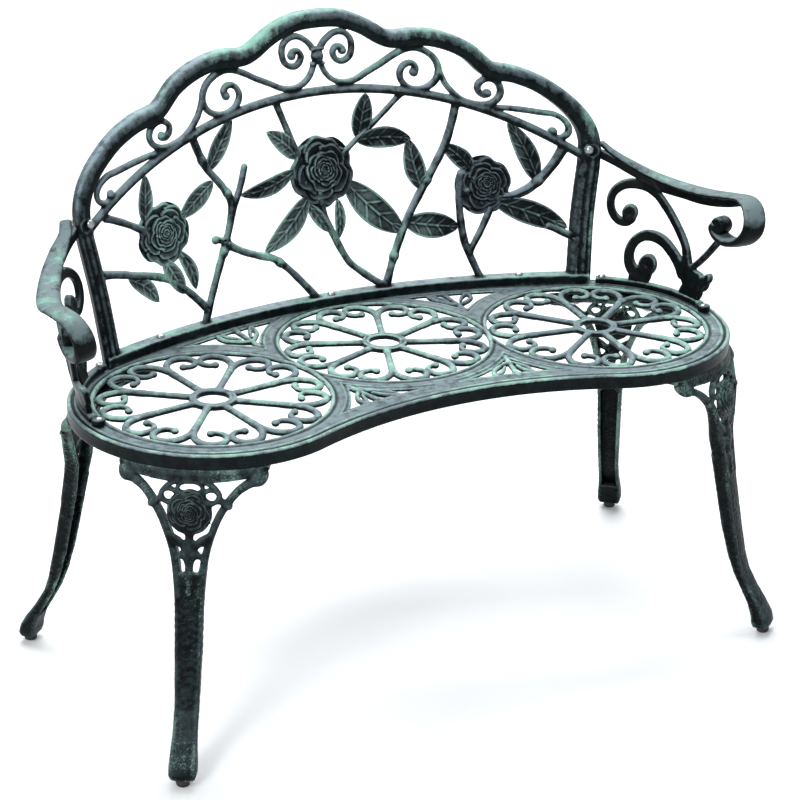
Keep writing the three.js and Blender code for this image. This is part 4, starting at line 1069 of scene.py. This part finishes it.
def shape_leg():
    """A channel-backed shaft, the two side rails and the openwork under the seat."""
    leg = Pattern((-98, 7, -40), (98, 400, 10), 1.7)
    cut, u, v, w = leg.window((-98, 7), (98, 400))
    half = leg_column(v, 3).astype(np.float32)
    thick = (leg_column(v, 1) - leg_column(v, 2)).astype(np.float32)
    shaft_top = np.minimum(np.maximum(v - 266, 9.3 - v), 30)
    crown = 3.0 * (np.abs(u) / half) ** 2.5
    body = rounded(np.abs(u) - half, np.maximum(w + crown, -thick - w), 3.0)
    hollow = np.maximum(np.maximum(np.abs(u) - half + 5, w + 5.5), 44 - v)
    front = np.maximum(np.abs(u) - half + 4.2, np.maximum(44 - v, v - 250))
    body = body + 1.2 * (1 - smooth(front, -1.2, 1.2)) * smooth(w, -8, -3)
    pebbles = np.sin(u * 1.05 + 2 * np.sin(v * 0.47 + w * 0.8))
    pebbles = pebbles * np.sin(v * 1.1 + w * 1.1 + 2 * np.sin(u * 0.6))
    body = body + 0.55 * pebbles * smooth(v, 30, 60) * (1 - smooth(v, 245, 262))
    body = np.maximum(np.maximum(body, -hollow), shaft_top)
    leg.merge(cut, body, 2)
    for side in (-1, 1):
        rail = on_side(side, LEG_RAIL)
        depth = [(0, 12), (0.3, 14), (0.7, 20), (1, 21)]
        middle = [(0, -5.5), (0.3, -7), (0.7, -10.4), (1, -11.2)]
        leg.bar(rail, [(0, 13), (0.15, 9.5), (0.8, 9.5), (1, 8)], depth, middle, edge=3.4, blend=3)
        leg.bar(on_side(side, ellipse(26.5, 364.5, 10.8, 8.0)), 5.6, 8, -3, blend=1.6)
        leg.bar(on_side(side, [(37, 366), (30, 376), (15, 383)]), 5.6, 8, -3, blend=2)
        leg.bar(on_side(side, [(50, 353), (43, 357), (36, 361)]), 8, 8, -3, blend=2.5)
        leaf_up, leaf_down = [(3, 298), (15, 306), (27, 317)], [(2, 296), (11, 288), (18, 283)]
        leg.bar(on_side(side, leaf_up), [(0, 8), (0.5, 13), (1, 6)], 7, -2.5, blend=2)
        leg.bar(on_side(side, leaf_down), [(0, 6), (0.5, 9), (1, 4)], 6, -2.5, blend=2)
        leg.ball((side * 85, 384, -4), (10.5, 10.5, 8.5), blend=4)
    leg.bar(ellipse(0, 374.5, 16.0, 8.4), 5.2, 8, -3, blend=1.6)
    apron = [(-86, 390.5), (-60, 389), (-30, 388), (0, 387.5), (30, 388), (60, 389), (86, 390.5)]
    leg.bar(apron, [(0, 10), (0.5, 15), (1, 10)], 7, -3.2, edge=2, blend=2)
    leg.bar([(0, 330), (0, 300), (0, 262), (0, 240)], [(0, 9), (0.5, 12), (0.8, 10), (1, 8)], 7, -2, blend=3)
    leg.ball((0, 292, 0.5), (10, 13, 4), blend=3)
    leg.ball((0, 344, -2.5), (29, 29, 7), blend=2)
    cut, u, v, w = leg.window((-96, 384), (96, 400))
    out = np.hypot(u, leg_reach(u, v).astype(np.float32) + w)
    leg.merge(cut, rounded(np.maximum(out - LEG_END_RADIUS, 158 - out), np.abs(v - 393.7) - 3, 1.0), 1.0)
    leg.field[cut] = np.maximum(leg.field[cut], v - 396.7)
    return leg


leg_points, leg_faces = shape_leg().skin()
rose_points, rose_faces, rose_fans = rose((0, 345), 29, depth=0.62, turn=0.4)
for name, turn in LEG_TURNS.items():
    place, node = leg_surface(-1 if name.endswith("left") else 1, turn), f"leg_{name}"
    make(f"leg_fine_{name}", leg_points, leg_faces, place, leg_paint, node, "leg_paint")
    make(
        f"leg_rose_{name}", rose_points, rose_faces, place, leg_rose_paint, node, "leg_paint",
        step=0.9, fans=rose_fans,
    )

# ---- fasteners and pads


def screw_profile(length, head=4.2):
    """Shank and domed head; the length is the shank's, and the profile is centred on the whole."""
    bottom = -(length + head) / 2
    neck = bottom + length
    turns = np.radians([0, 15, 32, 50, 68, 82])
    dome = [(6.1 * math.cos(a), neck + 0.5 + (head - 0.5) * math.sin(a)) for a in turns]
    return [(2.6, bottom), (2.9, bottom + 0.6), (2.9, neck), (6.0, neck), *dome, (0.05, neck + head)]


def back_normal(x, z):
    """The way that the front of the back panel faces at this place."""
    at = back_surface(np.array([(x, z, 0.0), (x + 1, z, 0.0), (x, z + 1, 0.0)]))
    n = np.cross(at[1] - at[0], at[2] - at[0])
    return tuple(n / np.linalg.norm(n))


SCREW_LENGTHS = {"back_screw": 27, "arm_screw": 22, "post_screw": 38}
PAD = [(7.2, -10), (8.6, -8.6), (9.0, -6), (9.0, -1.6), (8.4, -1.0), (3.0, -1.0), (3.0, 9.6), (2.6, 10)]

for node in list(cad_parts):
    kind = "_".join(node.split("_")[:2])
    direction = (0, 0, 1)
    if kind == "post_screw":
        side = -1 if node.endswith("left") else 1
        direction = back_normal(side * POST_SCREW_X, POST_SCREW_Z)
    if kind in SCREW_LENGTHS:
        profile = screw_profile(SCREW_LENGTHS[kind])
        turned_piece(node + "_fine", profile, direction, steel, node, "bolt_metal")
    elif kind == "foot_pad":
        turned_piece(node + "_fine", PAD, direction, rubber, node, "pad_rubber")
    elif kind == "leg_bolt" or kind.endswith("_nut"):
        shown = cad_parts[node]
        shown.data.materials.clear()
        shown.data.materials.append(steel)

# ---- studio

FLOOR = 30.0  # metres from the middle to each edge
floor_mesh = bpy.data.meshes.new("floor")
floor_corners = [(-FLOOR, -FLOOR, 0), (FLOOR, -FLOOR, 0), (FLOOR, FLOOR, 0), (-FLOOR, FLOOR, 0)]
floor_mesh.from_pydata(floor_corners, [], [(0, 1, 2, 3)])
floor = bpy.data.objects.new("floor", floor_mesh)
bpy.context.scene.collection.objects.link(floor)
pale = Nodes("pale_floor")
greys = colour(0.92, 0.92, 0.92), colour(0.95, 0.95, 0.95)
pale.put(pale.shader.inputs["Base Color"], pale.mix(pale.noise(1.5, 2), *greys))
pale.shader.inputs["Roughness"].default_value = 0.9
pale.shader.inputs["Specular IOR Level"].default_value = 0.1
floor_mesh.materials.append(pale.material)

world = bpy.data.worlds.new("studio")
world.use_nodes = True
world.node_tree.nodes["Background"].inputs["Color"].default_value = (0.94, 0.97, 1.0, 1)
world.node_tree.nodes["Background"].inputs["Strength"].default_value = 0.50
bpy.context.scene.world = world


def softbox(name, at, target, size, power, tint=(1, 1, 1)):
    lamp = bpy.data.lights.new(name, "AREA")
    lamp.shape = "RECTANGLE"
    lamp.size, lamp.size_y = size
    lamp.energy = power
    lamp.color = tint
    light = bpy.data.objects.new(name, lamp)
    light.location = at
    light.rotation_euler = (Vector(target) - Vector(at)).to_track_quat("-Z", "Y").to_euler()
    bpy.context.scene.collection.objects.link(light)


softbox("overhead", (0.3, 0.9, 2.8), (0, 0, 0.5), (2.6, 1.2), 92, (0.92, 0.97, 1.0))
softbox("left_front", (-2.6, -1.6, 2.2), (0, 0, 0.5), (0.9, 1.6), 60)
softbox("backdrop", (1.9, 3.6, 2.6), (1.9, 3.6, 0.0), (3.2, 2.4), 120)

camera = bpy.data.objects.new("camera", bpy.data.cameras.new("camera"))
bpy.context.scene.collection.objects.link(camera)
camera.data.lens = 108.14
camera.data.sensor_width = 36
azimuth, elevation, roll = (math.radians(a) for a in (-29.31, 22.90, 1.23))
level = math.cos(elevation)
backwards = Vector((math.sin(azimuth) * level, -math.cos(azimuth) * level, math.sin(elevation)))
right = (-backwards).cross(Vector((0, 0, 1))).normalized()
upward = right.cross(-backwards)
level_frame = Matrix((right, upward, backwards)).transposed()
camera.matrix_world = (level_frame @ Matrix.Rotation(roll, 3, "Z")).to_4x4()
camera.location = (-1.51197, -2.66163 - ORIGIN_Y / 1000, 1.64891)
bpy.context.scene.camera = camera
bpy.context.scene.view_settings.view_transform = "Standard"
